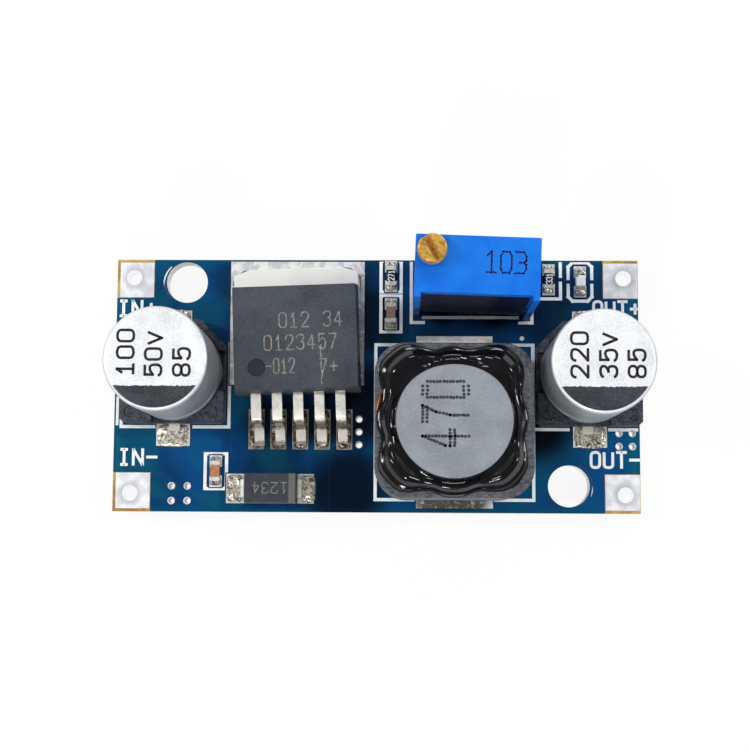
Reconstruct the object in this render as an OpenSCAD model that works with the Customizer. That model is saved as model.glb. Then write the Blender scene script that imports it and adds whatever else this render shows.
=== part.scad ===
// Buck converter module: a small step-down supply board with a switching regulator, a diode,
// a shielded inductor, two can capacitors, a multi-turn trimmer and five chip parts.
// Millimetres. The origin is on the underside of the board, midway between the mounting holes.
// +X points to the output end, +Y to the trimmer's edge, +Z out of the component side.

/* [Board] */
// Length of the board along X
board_l = 43; // [43:0.5:60]
// Width of the board along Y
board_w = 20.8; // [20.8:0.2:30]
// Thickness of the finished board
board_t = 1.6; // [0.8:0.2:2.4]
// How far the middle of the board lies below the midpoint of the mounting holes
board_drop = 0.15; // [0:0.05:0.25]
// Thickness of the solder mask on each face
mask_t = 0.03; // [0.02:0.01:0.04]
// Gap between a pad and the edge of its opening in the solder mask
mask_gap = 0.05; // [0.03:0.01:0.08]
// Thickness of the tinned pads
pad_t = 0.07; // [0.05:0.01:0.1]
// Wall of the plating in every plated hole
plating = 0.05; // [0.03:0.01:0.08]
// Thickness of the white ink
ink_t = 0.02; // [0.01:0.01:0.03]
// Width of a white ink line
ink_w = 0.26; // [0.15:0.01:0.3]

/* [Spacing] */
// Free board between the input end and the input capacitor
input_end_gap = 0.8; // [0:0.05:3]
// Gap between the input capacitor and the regulator
input_gap = 0.83; // [0.4:0.01:2]
// Gap between the inductor and the output capacitor
output_gap = 0.75; // [0.3:0.05:2]
// Free board between the output capacitor and the output end
output_end_gap = 0.05; // [0:0.05:2]
// Free board between the lower edge and the inductor
inductor_edge = 1; // [0.5:0.1:2]
// Free board between the trimmer and the upper edge
trim_edge = 0.04; // [0:0.01:1]
// Free board between the regulator's tab and the upper edge
tab_edge = 0.95; // [0.3:0.05:2]
// Free board between the lower edge and the diode
diode_edge = 0.65; // [0.2:0.05:1.5]
// Distance from the middle of the regulator back to the middle of the diode
diode_back = 2.05; // [1:0.05:3]
// Distance from the middle of the diode back to the middle of the bypass capacitor
bypass_back = 4.64; // [4.3:0.02:5.5]
// Distance from the lower edge up to the middle of the bypass capacitor
bypass_edge = 3.3; // [1.5:0.05:5]
// Distance from an output wire hole back to the middle of the light
led_back = 3.55; // [2.6:0.05:4.5]
// Distance from the upper edge down to the middle of the light
led_edge = 1.78; // [1.3:0.01:3]
// Distance from the light back to the middle of its resistor
led_resistor_back = 2.58; // [1.4:0.01:3.5]
// Distance from the upper edge down to the middle of the light's resistor
led_resistor_edge = 1.6; // [1.3:0.01:3]
// Gap between the light's resistor and the trimmer
trim_side_gap = 1.18; // [0.5:0.01:2.5]
// Distance from the trimmer's end back to the middle of the feedback parts
feedback_back = 1.87; // [1:0.01:2.5]
// Distance from the upper edge down to the middle of the feedback resistor
feedback_edge = 1.36; // [1.3:0.01:3]
// Distance between the feedback resistor and the feedback capacitor
feedback_pitch = 3.12; // [2.7:0.01:4]

/* [Holes] */
// Diameter of the mounting holes
mount_d = 3.4; // [2.2:0.1:3.5]
// Distance between the mounting holes along X
mount_dx = 31.4; // [31:0.1:32]
// Distance between the mounting holes along Y
mount_dy = 16.7; // [16.3:0.1:16.9]
// Diameter of the wire holes in the corner pads
wire_hole_d = 1.3; // [0.8:0.1:1.5]
// Distance from a wire hole to the end of the board
wire_edge_x = 1.3; // [1.2:0.05:1.6]
// Distance from a wire hole to the long edge of the board
wire_edge_y = 1.5; // [1.3:0.05:1.8]
// Shift of the wire holes towards the output end
wire_shift = 0.1; // [0:0.05:0.1]
// Bore of the small current-carrying vias
via_d = 0.5; // [0.3:0.05:0.6]

/* [Corner pads] */
// Length of a corner pad along X
corner_pad_l = 2.8; // [2.2:0.1:3]
// Width of a corner pad along Y
corner_pad_w = 2.9; // [2.2:0.1:3.2]
// How far a corner pad's middle lies inwards of its hole along X
corner_in_x = 0.25; // [0.1:0.05:0.3]
// How far a corner pad's middle lies inwards of its hole along Y
corner_in_y = 0.2; // [0.1:0.05:0.3]

/* [Regulator] */
// Width of the regulator's body at its parting line
reg_w = 10.16; // [9.6:0.02:10.4]
// Length of the regulator's body at its parting line
reg_l = 8.6; // [8:0.1:9]
// Height of the regulator's body
reg_h = 4.45; // [3.6:0.05:4.8]
// How much each side of a moulded body leans in from the parting line to the top
reg_draft = 0.16; // [0.05:0.01:0.3]
// Thickness of the regulator's metal tab
tab_t = 1.27; // [1:0.01:1.4]
// How far the tab stands out of the body
tab_reach = 1.75; // [1:0.05:2]
// Cut across each outer corner of the tab, along X
tab_corner_x = 1.3; // [0.6:0.1:2]
// Cut across each outer corner of the tab, along Y
tab_corner_y = 0.42; // [0.2:0.02:0.6]
// Width of a regulator lead
reg_lead_w = 0.8; // [0.6:0.05:1]
// Thickness of a regulator lead
reg_lead_t = 0.48; // [0.35:0.01:0.55]
// Spacing of the regulator leads
reg_pitch = 1.7; // [1.6:0.05:1.8]
// Height at which the leads leave the body, at mid thickness
reg_lead_z = 2.7; // [2.2:0.1:3]
// Distance from the body's edge to the tip of a lead
reg_lead_reach = 4; // [3.4:0.1:4.4]
// Length of a lead's flat foot
reg_foot = 1.45; // [1.2:0.05:1.8]
// Turn of the whole regulator on its pads, in degrees
reg_turn = 2.2; // [0:0.2:3]

/* [Diode] */
// Length of the diode's body
diode_l = 4.3; // [3.8:0.1:4.6]
// Width of the diode's body
diode_w = 2.5; // [2:0.1:2.9]
// Height of the diode, with its leads
diode_h = 2.25; // [1.8:0.05:2.6]
// Length of the diode over its leads
diode_over = 5; // [4.8:0.1:5.4]
// Width of a diode lead
diode_lead_w = 1.45; // [1.2:0.05:1.7]
// Thickness of a diode lead
diode_lead_t = 0.2; // [0.15:0.01:0.3]

/* [Inductor] */
// Length of the inductor's shield along X
ind_l = 12.3; // [11:0.1:12.5]
// Width of the inductor's shield along Y
ind_w = 12; // [11:0.1:12.5]
// Height of the inductor to the top of its drum core
ind_h = 8; // [5:0.1:8.5]
// How far the shield stops below the top of the drum core
ind_step = 0.55; // [0.3:0.05:0.8]
// Corner radius of the shield
ind_corner = 2.4; // [1.5:0.1:3]
// Diameter of the shield's bore
shield_bore = 10.9; // [10:0.1:11.1]
// Diameter of the drum core's upper flange
drum_d = 9.1; // [8:0.1:9.8]
// Diameter of the drum core's post
post_d = 4.6; // [3:0.1:6]
// Thickness of each drum core flange
flange_t = 1.2; // [0.8:0.1:1.6]
// Diameter of the adhesive pocket in each corner of the shield
pocket_d = 2.5; // [1.5:0.1:2.8]
// Thickness of the inductor's terminals
ind_term_t = 0.3; // [0.2:0.05:0.5]
// Width of the inductor's terminals along X
ind_term_w = 5.4; // [3:0.1:6]

/* [Can capacitors] */
// Diameter of the cans
can_d = 8; // [6.3:0.1:8.2]
// Height of the cans above the pads
can_h = 10.55; // [6:0.05:11]
// Radius of the can's upper edge
can_edge = 0.35; // [0.2:0.05:0.6]
// Depth of the crimped groove around the can
crimp_depth = 0.28; // [0.15:0.01:0.4]
// Height of the groove's middle above the pads
crimp_z = 3; // [2.8:0.1:3.6]
// How much wider the square base is than its can
base_over = 0.4; // [0.3:0.05:0.6]
// Thickness of the base plate
base_t = 1; // [0.7:0.05:1.3]
// Height of the base's corner posts above the pads
base_post_h = 2.1; // [1.6:0.1:2.4]
// Cut across the two positive corners of the base
base_chamfer = 2; // [1.5:0.1:2.3]
// Width of the open channels between the corner posts
post_gap = 3.3; // [2:0.1:5]
// Clearance between the can and the corner posts
can_gap = 0.08; // [0.05:0.01:0.12]
// Width of a capacitor lead
can_lead_w = 0.9; // [0.6:0.05:1.2]
// Thickness of a capacitor lead
can_lead_t = 0.3; // [0.2:0.02:0.4]
// How far a lead stands out of the base
can_lead_out = 0.6; // [0.4:0.05:0.9]

/* [Trimmer] */
// Length of the trimmer's housing
trim_l = 9.53; // [9:0.01:9.8]
// Width of the trimmer's housing
trim_w = 4.83; // [4.6:0.01:5.1]
// Height of the trimmer's housing with its feet
trim_h = 10.4; // [10:0.1:11]
// Height of the trimmer's feet
trim_foot = 0.38; // [0.25:0.01:0.5]
// Side wall of the trimmer's housing
trim_wall = 0.6; // [0.5:0.05:0.65]
// Top wall of the trimmer's housing
trim_roof = 1; // [0.8:0.05:1.2]
// Depth of the recess in the trimmer's open side
trim_recess = 0.4; // [0.3:0.05:0.5]
// Distance from the screw's axis to the nearest two faces of the housing
screw_in = 1.27; // [1.25:0.01:1.35]
// Diameter of the screw's head
head_d = 2.25; // [1.9:0.05:2.4]
// Height of the screw's head
head_h = 1.15; // [0.9:0.05:1.4]
// Gap under the screw's head
head_gap = 0.2; // [0.1:0.05:0.4]
// Width of the screwdriver slot
slot_w = 0.5; // [0.4:0.02:0.6]
// Depth of the screwdriver slot
slot_depth = 0.6; // [0.4:0.05:0.8]
// Turn of the slot at rest, in degrees
slot_turn = -58; // [-90:1:90]
// Diameter of the screw's shaft
shaft_d = 1.2; // [1:0.05:1.3]
// Diameter of the collar that keeps the screw in
collar_d = 1.7; // [1.6:0.05:1.75]
// Root diameter of the screw's worm
worm_d = 1.1; // [0.9:0.05:1.15]
// Clearance of every turning fit
run_gap = 0.05; // [0.03:0.01:0.08]
// Tip diameter of the toothed rotor
rotor_d = 5; // [4.4:0.1:5.1]
// Number of teeth on the rotor
rotor_teeth = 30; // [24:1:36]
// Diameter of the trimmer's pins
pin_d = 0.5; // [0.4:0.05:0.55]
// Spacing of the trimmer's pins
pin_pitch = 2.54; // [2.5:0.01:2.6]
// How far the pins stand out of the underside of the board
pin_out = 1; // [0.8:0.1:1.5]
// Turn of the whole trimmer on the board, in degrees
trim_turn = -1.95; // [-3:0.05:0]

/* [Chip parts] */
// Length of a chip part
chip_l = 1.6; // [1.5:0.05:1.7]
// Width of a chip part
chip_w = 0.82; // [0.75:0.01:0.9]
// Height of a chip resistor
resistor_h = 0.46; // [0.35:0.01:0.55]
// Height of a chip capacitor
ceramic_h = 0.8; // [0.6:0.02:0.9]
// Length of a chip part's end cap
end_cap = 0.32; // [0.25:0.01:0.4]
// Thickness of the metal of an end cap
end_skin = 0.03; // [0.02:0.01:0.05]
// Height of the light-emitting diode
led_h = 0.62; // [0.5:0.01:0.8]
// Thickness of the light-emitting diode's board
led_board_t = 0.24; // [0.2:0.01:0.3]
// Length of the light-emitting diode's lens
lens_l = 1.06; // [0.9:0.01:1.1]

/* [Hidden] */
$fn = 64;

// Board faces and edges
edge_l = -board_l / 2;
edge_r = board_l / 2;
edge_top = board_w / 2 - board_drop;
edge_bottom = -board_w / 2 - board_drop;
copper_z = board_t - mask_t;
seat_z = copper_z + pad_t;
mount_at = [[-mount_dx / 2, mount_dy / 2], [mount_dx / 2, -mount_dy / 2]];

// Corner wire holes: input plus, input minus, output plus, output minus
wire_x = board_l / 2 - wire_edge_x;
wire_y = board_w / 2 - wire_edge_y;
wire_at = [for (sx = [-1, 1]) for (sy = [1, -1]) [wire_shift + sx * wire_x, sy * wire_y - board_drop]];

// Capacitor places: each is set in from its own end of the board
base_side = can_d + base_over;
input_can_at = [edge_l + input_end_gap + base_side / 2, 0.8];
output_can_at = [edge_r - output_end_gap - base_side / 2, 0.7];
can_pad = [2.75, 2.9];
can_pad_y = 0.4;
can_pad_reach = base_side / 2 - 0.05;
input_pad_x = input_can_at[0] - 0.13;
output_pad_x = output_can_at[0] + 0.2;
can_lead_slot = 0.05;
can_wire_r = can_lead_w / 3;
can_wire_y = can_d / 5;

// Regulator place: beside the input capacitor, its tab set in from the upper edge
reg_at = [input_can_at[0] + base_side / 2 + input_gap + reg_w / 2,
    edge_top - tab_edge - tab_reach - reg_l / 2];
heat_pad = [reg_w + 0.9, 10.25];
heat_pad_at = [reg_at[0] - 0.15, edge_top - 0.15 - heat_pad[1] / 2];
foot_pad = [1.3, 3.3];
foot_pad_pitch = reg_pitch + 0.1;
foot_pad_at = [reg_at[0] + 0.2, reg_at[1] - reg_l / 2 - reg_lead_reach + 1.25];
reg_lead_count = 5;
tab_under = 6;
tab_lift = 0.02;
dimple_d = 1.4;
dimple_at = [-reg_w / 2 + 1.95, -reg_l / 2 + 1.95];
dimple_depth = 0.12;

// Inductor place: beside the output capacitor, set in from the lower edge
ind_at = [output_can_at[0] - base_side / 2 - output_gap - ind_l / 2, edge_bottom + inductor_edge + ind_w / 2];
shield_h = ind_h - ind_step;
glue_gap = 0.02;
glue_depth = 1.6;
pocket_r = shield_bore / 2 + 0.15;
ind_term_l = 2.6;
ind_pad = [6.25, 2.7];
ind_pad_at = [ind_at[0] + 0.25, ind_at[1] + 0.4];
ind_pad_reach = ind_w / 2 - 0.3;
ind_pad_bottom = ind_pad_at[1] + ind_pad_reach - ind_pad[1] / 2;

// Diode and bypass capacitor places, near the lower edge
diode_at = [reg_at[0] - diode_back, edge_bottom + diode_edge + diode_w / 2];
diode_pads = [[-diode_l / 2 - 0.8, 1.63], [diode_l / 2 + 0.55, 1.38]];
diode_pad_w = diode_w - 0.1;
bypass_at = [diode_at[0] - bypass_back, edge_bottom + bypass_edge];

// Light, its resistor, the trimmer and the feedback parts, in a row along the upper edge
led_at = [wire_at[2][0] - led_back, edge_top - led_edge];
led_resistor_at = [led_at[0] - led_resistor_back, edge_top - led_resistor_edge];
trim_at = [led_resistor_at[0] - chip_w / 2 - trim_side_gap - trim_l / 2, edge_top - trim_edge - trim_w / 2];
feedback_resistor_at = [trim_at[0] - trim_l / 2 - feedback_back, edge_top - feedback_edge];
feedback_capacitor_at = feedback_resistor_at - [0, feedback_pitch];
chips_at = [bypass_at, led_at, led_resistor_at, feedback_resistor_at, feedback_capacitor_at];
chip_pad = [chip_w + 0.18, 0.95];
chip_pad_y = chip_l / 2 + 0.02;

// Vias: a block of four at each end and a column beside the regulator's leads
input_vias = [edge_l, edge_bottom] + [4.81, 0.89];
input_via_pitch = [1.3, 1.2];
output_vias = [edge_r, edge_bottom] + [-1.69, 5.46];
output_via_pitch = [1.08, 1.07];
column_vias = foot_pad_at + [2 * foot_pad_pitch + foot_pad[0] / 2 + 0.55, 0.85];
column_via_pitch = 1.05;
vias_at = concat(
    [for (x = [0, 1]) for (y = [0, 1]) input_vias + [input_via_pitch[0] * x, input_via_pitch[1] * y]],
    [for (x = [0, 1]) for (y = [0, 1]) output_vias + [output_via_pitch[0] * x, output_via_pitch[1] * y]],
    [for (k = [0:2]) column_vias - [0, column_via_pitch * k]]);
via_r = via_d / 2 + plating;

// Trimmer: screw in one corner, worm beside the rotor, element and potting in the open side
screw_at = [-trim_l / 2 + screw_in, trim_w / 2 - screw_in];
roof_z = trim_h - trim_roof;
floor_t = 0.6;
floor_z = trim_foot + floor_t;
tip_z = trim_foot + floor_t / 3;
tunnel_r = collar_d / 2 + 0.08;
cavity_x = trim_l / 2 - trim_wall;
back_y = trim_w / 2 - trim_wall;
front_y = -trim_w / 2 + trim_recess;
mesh_gap = 0.1;
rotor_x = screw_at[0] + worm_d / 2 + mesh_gap + rotor_d / 2;
rotor_z = (roof_z + floor_z) / 2;
rotor_t = 1;
rotor_back = 0.15;
axle_d = 1.2;
hub_d = 2.8;
tooth_h = 0.3;
element_t = 0.5;
potting_t = 0.9;
element_y = front_y + potting_t;
wiper_t = 0.12;
wiper_w = 0.6;
wiper_gap = 0.06;
contact_t = 0.2;
wiper_y = element_y + element_t + wiper_gap + contact_t;
hub_y = wiper_y + wiper_t;
rotor_y = back_y - rotor_back - rotor_t;
seal_t = 0.3;
collar_t = 0.4;
collar_z = roof_z - seal_t - 0.1 - collar_t;
tip_d = worm_d - 0.3;
pin_y = front_y + potting_t / 2;
pin_top = 3;
pins_x = [-pin_pitch, 0, pin_pitch];
pin_hole_r = pin_d / 2 + 0.15;
pin_pad_r = pin_hole_r + 0.45;
// the inductor's upper pad takes half of the strip between its shield and the trimmer's pads
ind_pad_top = (ind_at[1] + ind_w / 2 + trim_at[1] + pin_y - pin_pad_r) / 2;
recess_end = 0.5;

// ---- Helpers ----

// Unit vector along v
function unit(v) = v / norm(v);

// Left-hand normal of the step from a to b
function left_of(a, b) = let (d = unit(b - a)) [-d[1], d[0]];

// Point i of path p, moved sideways by t with mitred corners
function beside(p, i, t) =
    let (n = len(p) - 1,
         before = i > 0 ? left_of(p[i - 1], p[i]) : left_of(p[0], p[1]),
         after = i < n ? left_of(p[i], p[i + 1]) : before,
         m = unit(before + after))
    p[i] + m * t / (m * before);

// Closed outline of a strip of thickness t along path p
function strip(p, t) = concat(
    [for (i = [0:len(p) - 1]) beside(p, i, t / 2)],
    [for (i = [len(p) - 1:-1:0]) beside(p, i, -t / 2)]);

// Arc of radius r that rounds the corner b between a and c
function corner_arc(a, b, c, r, steps = 4) =
    let (u = unit(a - b), v = unit(c - b), half = acos(u * v) / 2,
         centre = b + unit(u + v) * r / sin(half),
         s = b + u * r / tan(half) - centre, e = b + v * r / tan(half) - centre,
         from = atan2(s[1], s[0]), turn = atan2(e[1], e[0]) - from,
         sweep = turn > 180 ? turn - 360 : turn < -180 ? turn + 360 : turn)
    [for (k = [0:steps]) centre + r * [cos(from + sweep * k / steps), sin(from + sweep * k / steps)]];

// Path p with every inner corner rounded to radius r
function bent(p, r) = concat([p[0]],
    [for (i = [1:len(p) - 2]) each corner_arc(p[i - 1], p[i], p[i + 1], r)], [p[len(p) - 1]]);

// Corners of a rectangle l by w at height z
function ring(l, w, z) = [[-l / 2, -w / 2, z], [l / 2, -w / 2, z], [l / 2, w / 2, z], [-l / 2, w / 2, z]];

// Solid through a stack of rings with equal numbers of points
module loft(rings) {
    n = len(rings[0]);
    last = len(rings) - 1;
    polyhedron(
        points = [for (r = rings) each r],
        faces = concat(
            [[for (i = [0:n - 1]) i]],
            [for (k = [0:last - 1]) for (i = [0:n - 1])
                [k * n + i, (k + 1) * n + i, (k + 1) * n + (i + 1) % n, k * n + (i + 1) % n]],
            [[for (i = [n - 1:-1:0]) last * n + i]]));
}

// Rectangle l by w with corners of radius r
module rounded_rect(l, w, r) {
    square([l - 2 * r, w], center = true);
    square([l, w - 2 * r], center = true);
    for (x = [-1, 1]) for (y = [-1, 1]) translate([x * (l / 2 - r), y * (w / 2 - r)]) circle(r);
}

// Strip of width w that follows path p in the Y-Z plane
module bent_strip(p, t, w) {
    translate([-w / 2, 0, 0]) rotate([90, 0, 90]) linear_extrude(w) polygon(strip(p, t));
}

// Sets a part on the pads at a place on the board
module seated(place, turn = 0) {
    translate([place[0], place[1], seat_z]) rotate(turn) children();
}

// Tube standing on z0
module tube(r_out, r_in, z0, z1) {
    translate([0, 0, z0]) linear_extrude(z1 - z0) difference() {
        circle(r_out);
        circle(r_in);
    }
}

// Solder wedge: upright face on the X axis, sloping away along +Y
module wedge(w, run, rise) {
    translate([-w / 2, 0, 0]) rotate([90, 0, 90]) linear_extrude(w) polygon([[0, 0], [run, 0], [0, rise]]);
}

// Rectangular pad outline at a place, grown by g on every side
module pad_rect(place, size, g) {
    translate(place) square([size[0] + 2 * g, size[1] + 2 * g], center = true);
}

// ---- Board ----

// Outlines of all the surface pads, grown by g on every side
module surface_pads(g) {
    pad_rect(heat_pad_at, heat_pad, g);
    for (k = [-2:2]) pad_rect(foot_pad_at + [k * foot_pad_pitch, 0], foot_pad, g);
    for (p = diode_pads) pad_rect(diode_at + [p[0], 0], [p[1], diode_pad_w], g);
    for (x = [input_pad_x, output_pad_x]) for (s = [-1, 1])
        pad_rect([x, can_pad_y + s * can_pad_reach], can_pad, g);
    pad_rect(ind_pad_at - [0, ind_pad_reach], ind_pad, g);
    pad_rect([ind_pad_at[0], (ind_pad_top + ind_pad_bottom) / 2],
        [ind_pad[0], ind_pad_top - ind_pad_bottom], g);
    for (c = chips_at) for (s = [-1, 1]) pad_rect(c + [0, s * chip_pad_y], chip_pad, g);
}

// Places of the trimmer's pins, as children
module at_pins() {
    translate([trim_at[0], trim_at[1], 0]) rotate(trim_turn)
        for (x = pins_x) translate([x, pin_y, 0]) children();
}

// Every drilled hole through the board, with the plated ones grown by g
module drilled(g) {
    for (p = mount_at) translate(p) circle(mount_d / 2);
    for (p = wire_at) translate(p) circle(wire_hole_d / 2 + plating + g);
    for (p = vias_at) translate(p) circle(via_r);
    at_pins() circle(pin_hole_r + plating + g);
}

module board_outline() {
    translate([0, -board_drop]) square([board_l, board_w], center = true);
}

module circuit_board() {
    color("darkkhaki") translate([0, 0, mask_t]) linear_extrude(board_t - 2 * mask_t) difference() {
        board_outline();
        drilled(0);
    }
}

// Corner pad centres, moved inwards from their holes
function corner_pad_at(p) = p - [sign(p[0]) * corner_in_x, sign(p[1]) * corner_in_y];

// Opening in the solder mask that runs from a corner pad out to the board's corner
module corner_opening(p) {
    c = corner_pad_at(p);
    inner = [c[0] - sign(p[0]) * (corner_pad_l / 2 + mask_gap),
        c[1] - sign(p[1]) * (corner_pad_w / 2 + mask_gap)];
    translate(inner) mirror([p[0] < 0 ? 1 : 0, 0]) mirror([0, p[1] < 0 ? 1 : 0]) square(board_w / 4);
}

// Film of solder mask with its openings; the component side also opens over the surface pads
module mask_film(component_side) {
    difference() {
        board_outline();
        drilled(0);
        for (p = wire_at) corner_opening(p);
        at_pins() circle(pin_pad_r + mask_gap);
        if (component_side) surface_pads(mask_gap);
    }
}

module solder_mask_top() {
    color("navy") translate([0, 0, copper_z]) linear_extrude(mask_t) mask_film(true);
}

module solder_mask_bottom() {
    color("navy") linear_extrude(mask_t) mask_film(false);
}

module component_pads() {
    color("lightgray") translate([0, 0, copper_z]) linear_extrude(pad_t) surface_pads(0);
}

module via_barrels() {
    color("silver") for (p = vias_at) translate(p) tube(via_r, via_d / 2, 0, board_t);
}

// Plated-through corner pad around one wire hole
module terminal(p) {
    color("lightgray") {
        for (z = [copper_z, mask_t - pad_t]) translate([0, 0, z]) linear_extrude(pad_t) difference() {
            translate(corner_pad_at(p)) square([corner_pad_l, corner_pad_w], center = true);
            translate(p) circle(wire_hole_d / 2);
        }
        translate(p) tube(wire_hole_d / 2 + plating, wire_hole_d / 2, mask_t - pad_t, seat_z);
    }
}

module in_plus_terminal() terminal(wire_at[0]);
module in_minus_terminal() terminal(wire_at[1]);
module out_plus_terminal() terminal(wire_at[2]);
module out_minus_terminal() terminal(wire_at[3]);

module trimmer_pads() {
    color("silver") at_pins() {
        tube(pin_hole_r + plating, pin_hole_r, mask_t - pad_t, seat_z);
        for (z = [copper_z, mask_t - pad_t]) tube(pin_pad_r, pin_hole_r, z, z + pad_t);
    }
}

// ---- White ink ----

// Ink line through a list of points
module ink_path(p) {
    for (i = [0:len(p) - 2]) let (d = p[i + 1] - p[i]) translate(p[i]) rotate(atan2(d[1], d[0]))
        translate([-ink_w / 2, -ink_w / 2]) square([norm(d) + ink_w, ink_w]);
}

// Frame around a chip part, set off from its pads by side and end, open at mid length by gap
module chip_frame(c, side, end, corner, gap) {
    a = chip_pad[0] / 2 + side;
    b = chip_pad_y + chip_pad[1] / 2 + end;
    for (s = [-1, 1]) ink_path([for (q = [[-a, gap], [-a, b - corner], [corner - a, b],
        [a - corner, b], [a, b - corner], [a, gap]]) c + [q[0], s * q[1]]]);
}

// Outline beside a capacitor base, open where its lower pad passes
module can_outline(c) {
    h = base_side / 2 + ink_w / 2 + 0.1;
    clear = can_pad[0] / 2 + 0.2;
    for (s = [-1, 1]) ink_path([[c[0] + s * clear, c[1] - h], [c[0] + s * h, c[1] - h],
        [c[0] + s * h, c[1] + h - base_chamfer]]);
}

module outlines() {
    can_outline(input_can_at);
    can_outline(output_can_at);
    ink_path([input_can_at + [-base_side / 2 - 0.58, -base_side / 2],
              input_can_at + [-base_side / 2 - 0.58, -base_side / 4]]);
    for (s = [-1, 1]) ink_path([for (q = [[-ind_pad[0] / 2 - 0.2, 1], [-1, 1], [-1, 0], [1, 0], [1, 1],
        [ind_pad[0] / 2 + 0.2, 1]]) ind_pad_at + [
            abs(q[0]) == 1 ? q[0] * (ind_l / 2 + 0.3) : q[0], s * q[1] * (ind_w / 2 + 0.35)]]);
    translate(trim_at) for (s = [-1, 1]) ink_path([[s * (trim_l / 2 - 0.8), -trim_w / 2 - 0.33],
        [s * (trim_l / 2 + 0.2), -trim_w / 2 - 0.33], [s * (trim_l / 2 + 0.2), trim_w / 2 - 0.2]]);
    translate(trim_at) ink_path([[0.8 - trim_l / 2, 0.1 - trim_w / 2], [trim_l / 2 - 1, 0.1 - trim_w / 2]]);
    chip_frame(bypass_at, 0.37, 0.125, 0, 0);
    chip_frame(led_at, 0.47, 0.305, 0.35, 0.28);
    chip_frame(led_resistor_at, 0.47, 0.305, 0, 0.28);
    chip_frame(feedback_resistor_at, 0.33, 0.005, 0, 0);
    chip_frame(feedback_capacitor_at, 0.33, 0.205, 0, 0);
    for (p = mount_at) translate(p) intersection() {
        difference() {
            circle(mount_d / 2 + 0.27);
            circle(mount_d / 2 + 0.12);
        }
        rotate(p[0] < 0 ? 135 : -25) square(mount_d);
    }
}

module ink_outlines() {
    color("white") translate([0, 0, board_t]) linear_extrude(ink_t) intersection() {
        difference() {
            outlines();
            surface_pads(2 * mask_gap);
            drilled(2 * mask_gap);
            at_pins() circle(pin_pad_r + 2 * mask_gap);
            for (p = wire_at) corner_opening(p);
        }
        translate([0, -board_drop]) square([board_l - ink_w, board_w - ink_w], center = true);
    }
}

// ---- Solder ----

module solder_fillets() {
    run = 0.35;
    color("silver") {
        for (c = chips_at) seated(c) for (s = [0, 180]) rotate(s)
            translate([0, chip_l / 2, 0]) wedge(chip_w * 0.9, run, resistor_h * 0.8);
        seated(reg_at, reg_turn) for (k = [-2:2])
            translate([k * reg_pitch, -reg_l / 2 - reg_lead_reach, 0])
                rotate(180) wedge(reg_lead_w, run, reg_lead_t * 0.8);
        seated(diode_at) for (s = [-90, 90]) rotate(s)
            translate([0, diode_over / 2, 0]) wedge(diode_lead_w, run, diode_h / 3);
        for (c = [input_can_at, output_can_at]) seated(c) for (s = [0, 180]) rotate(s)
            translate([0, base_side / 2 + can_lead_out, 0]) wedge(can_lead_w, run, can_lead_t * 0.8);
    }
}

module trimmer_solder() {
    color("silver") at_pins() difference() {
        union() {
            translate([0, 0, mask_t - pad_t]) cylinder(h = board_t - mask_t + pad_t, r = pin_hole_r);
            translate([0, 0, mask_t - pad_t - pin_out * 0.6])
                cylinder(h = pin_out * 0.6, r1 = pin_d / 2 + 0.08, r2 = pin_pad_r - 0.1);
        }
        translate([0, 0, -pin_out]) cylinder(h = board_t + 2 * pin_out, r = pin_d / 2);
    }
}

// ---- Regulator ----

// Plan of the tab: full width outside the body, narrower inside it
module tab_plan() {
    y = reg_l / 2;
    neck = reg_w / 2 - 0.9;
    polygon([[-neck, y - tab_under], [neck, y - tab_under], [neck, y], [reg_w / 2, y],
        [reg_w / 2, y + tab_reach - tab_corner_y], [reg_w / 2 - tab_corner_x, y + tab_reach],
        [tab_corner_x - reg_w / 2, y + tab_reach], [-reg_w / 2, y + tab_reach - tab_corner_y],
        [-reg_w / 2, y], [-neck, y]]);
}

module regulator_tab() {
    color("gainsboro") seated(reg_at, reg_turn) linear_extrude(tab_t) tab_plan();
}

// Route of one lead in its own Y-Z plane: out of the body, down, and along the pad
function reg_lead_path() =
    let (tip = -reg_l / 2 - reg_lead_reach, knee = tip + reg_foot + 0.45)
    [[-reg_l / 2 + 1, reg_lead_z], [knee, reg_lead_z],
     [knee - 0.25, reg_lead_t / 2], [tip, reg_lead_t / 2]];

module regulator_lead(w) {
    bent_strip(bent(reg_lead_path(), reg_lead_t * 0.75), reg_lead_t, w);
}

module regulator_leads() {
    color("silver") seated(reg_at, reg_turn)
        for (k = [-2:2]) translate([k * reg_pitch, 0, 0]) regulator_lead(reg_lead_w);
}

module regulator_body() {
    color("dimgray") seated(reg_at, reg_turn) difference() {
        loft([ring(reg_w - reg_draft, reg_l - reg_draft, tab_lift),
              ring(reg_w, reg_l, reg_lead_z),
              ring(reg_w - 2 * reg_draft, reg_l - 2 * reg_draft, reg_h)]);
        translate([0, 0, -1]) linear_extrude(1 + tab_t) tab_plan();
        for (k = [-2:2]) translate([k * reg_pitch, -reg_l / 2, reg_lead_z])
            cube([reg_lead_w, 2, reg_lead_t], center = true);
        translate([dimple_at[0], dimple_at[1], reg_h - dimple_depth]) cylinder(h = 1, d = dimple_d);
    }
}

// ---- Diode ----

module diode_lead() {
    x = diode_over / 2 - diode_lead_t / 2;
    z = diode_h / 2;
    bent_strip(bent([[diode_l / 2 - 0.6, z], [x, z], [x, diode_lead_t / 2], [x - 1.2, diode_lead_t / 2]],
        diode_lead_t * 0.75), diode_lead_t, diode_lead_w);
}

module diode_leads() {
    color("silver") seated(diode_at) for (s = [-90, 90]) rotate(s) diode_lead();
}

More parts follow.
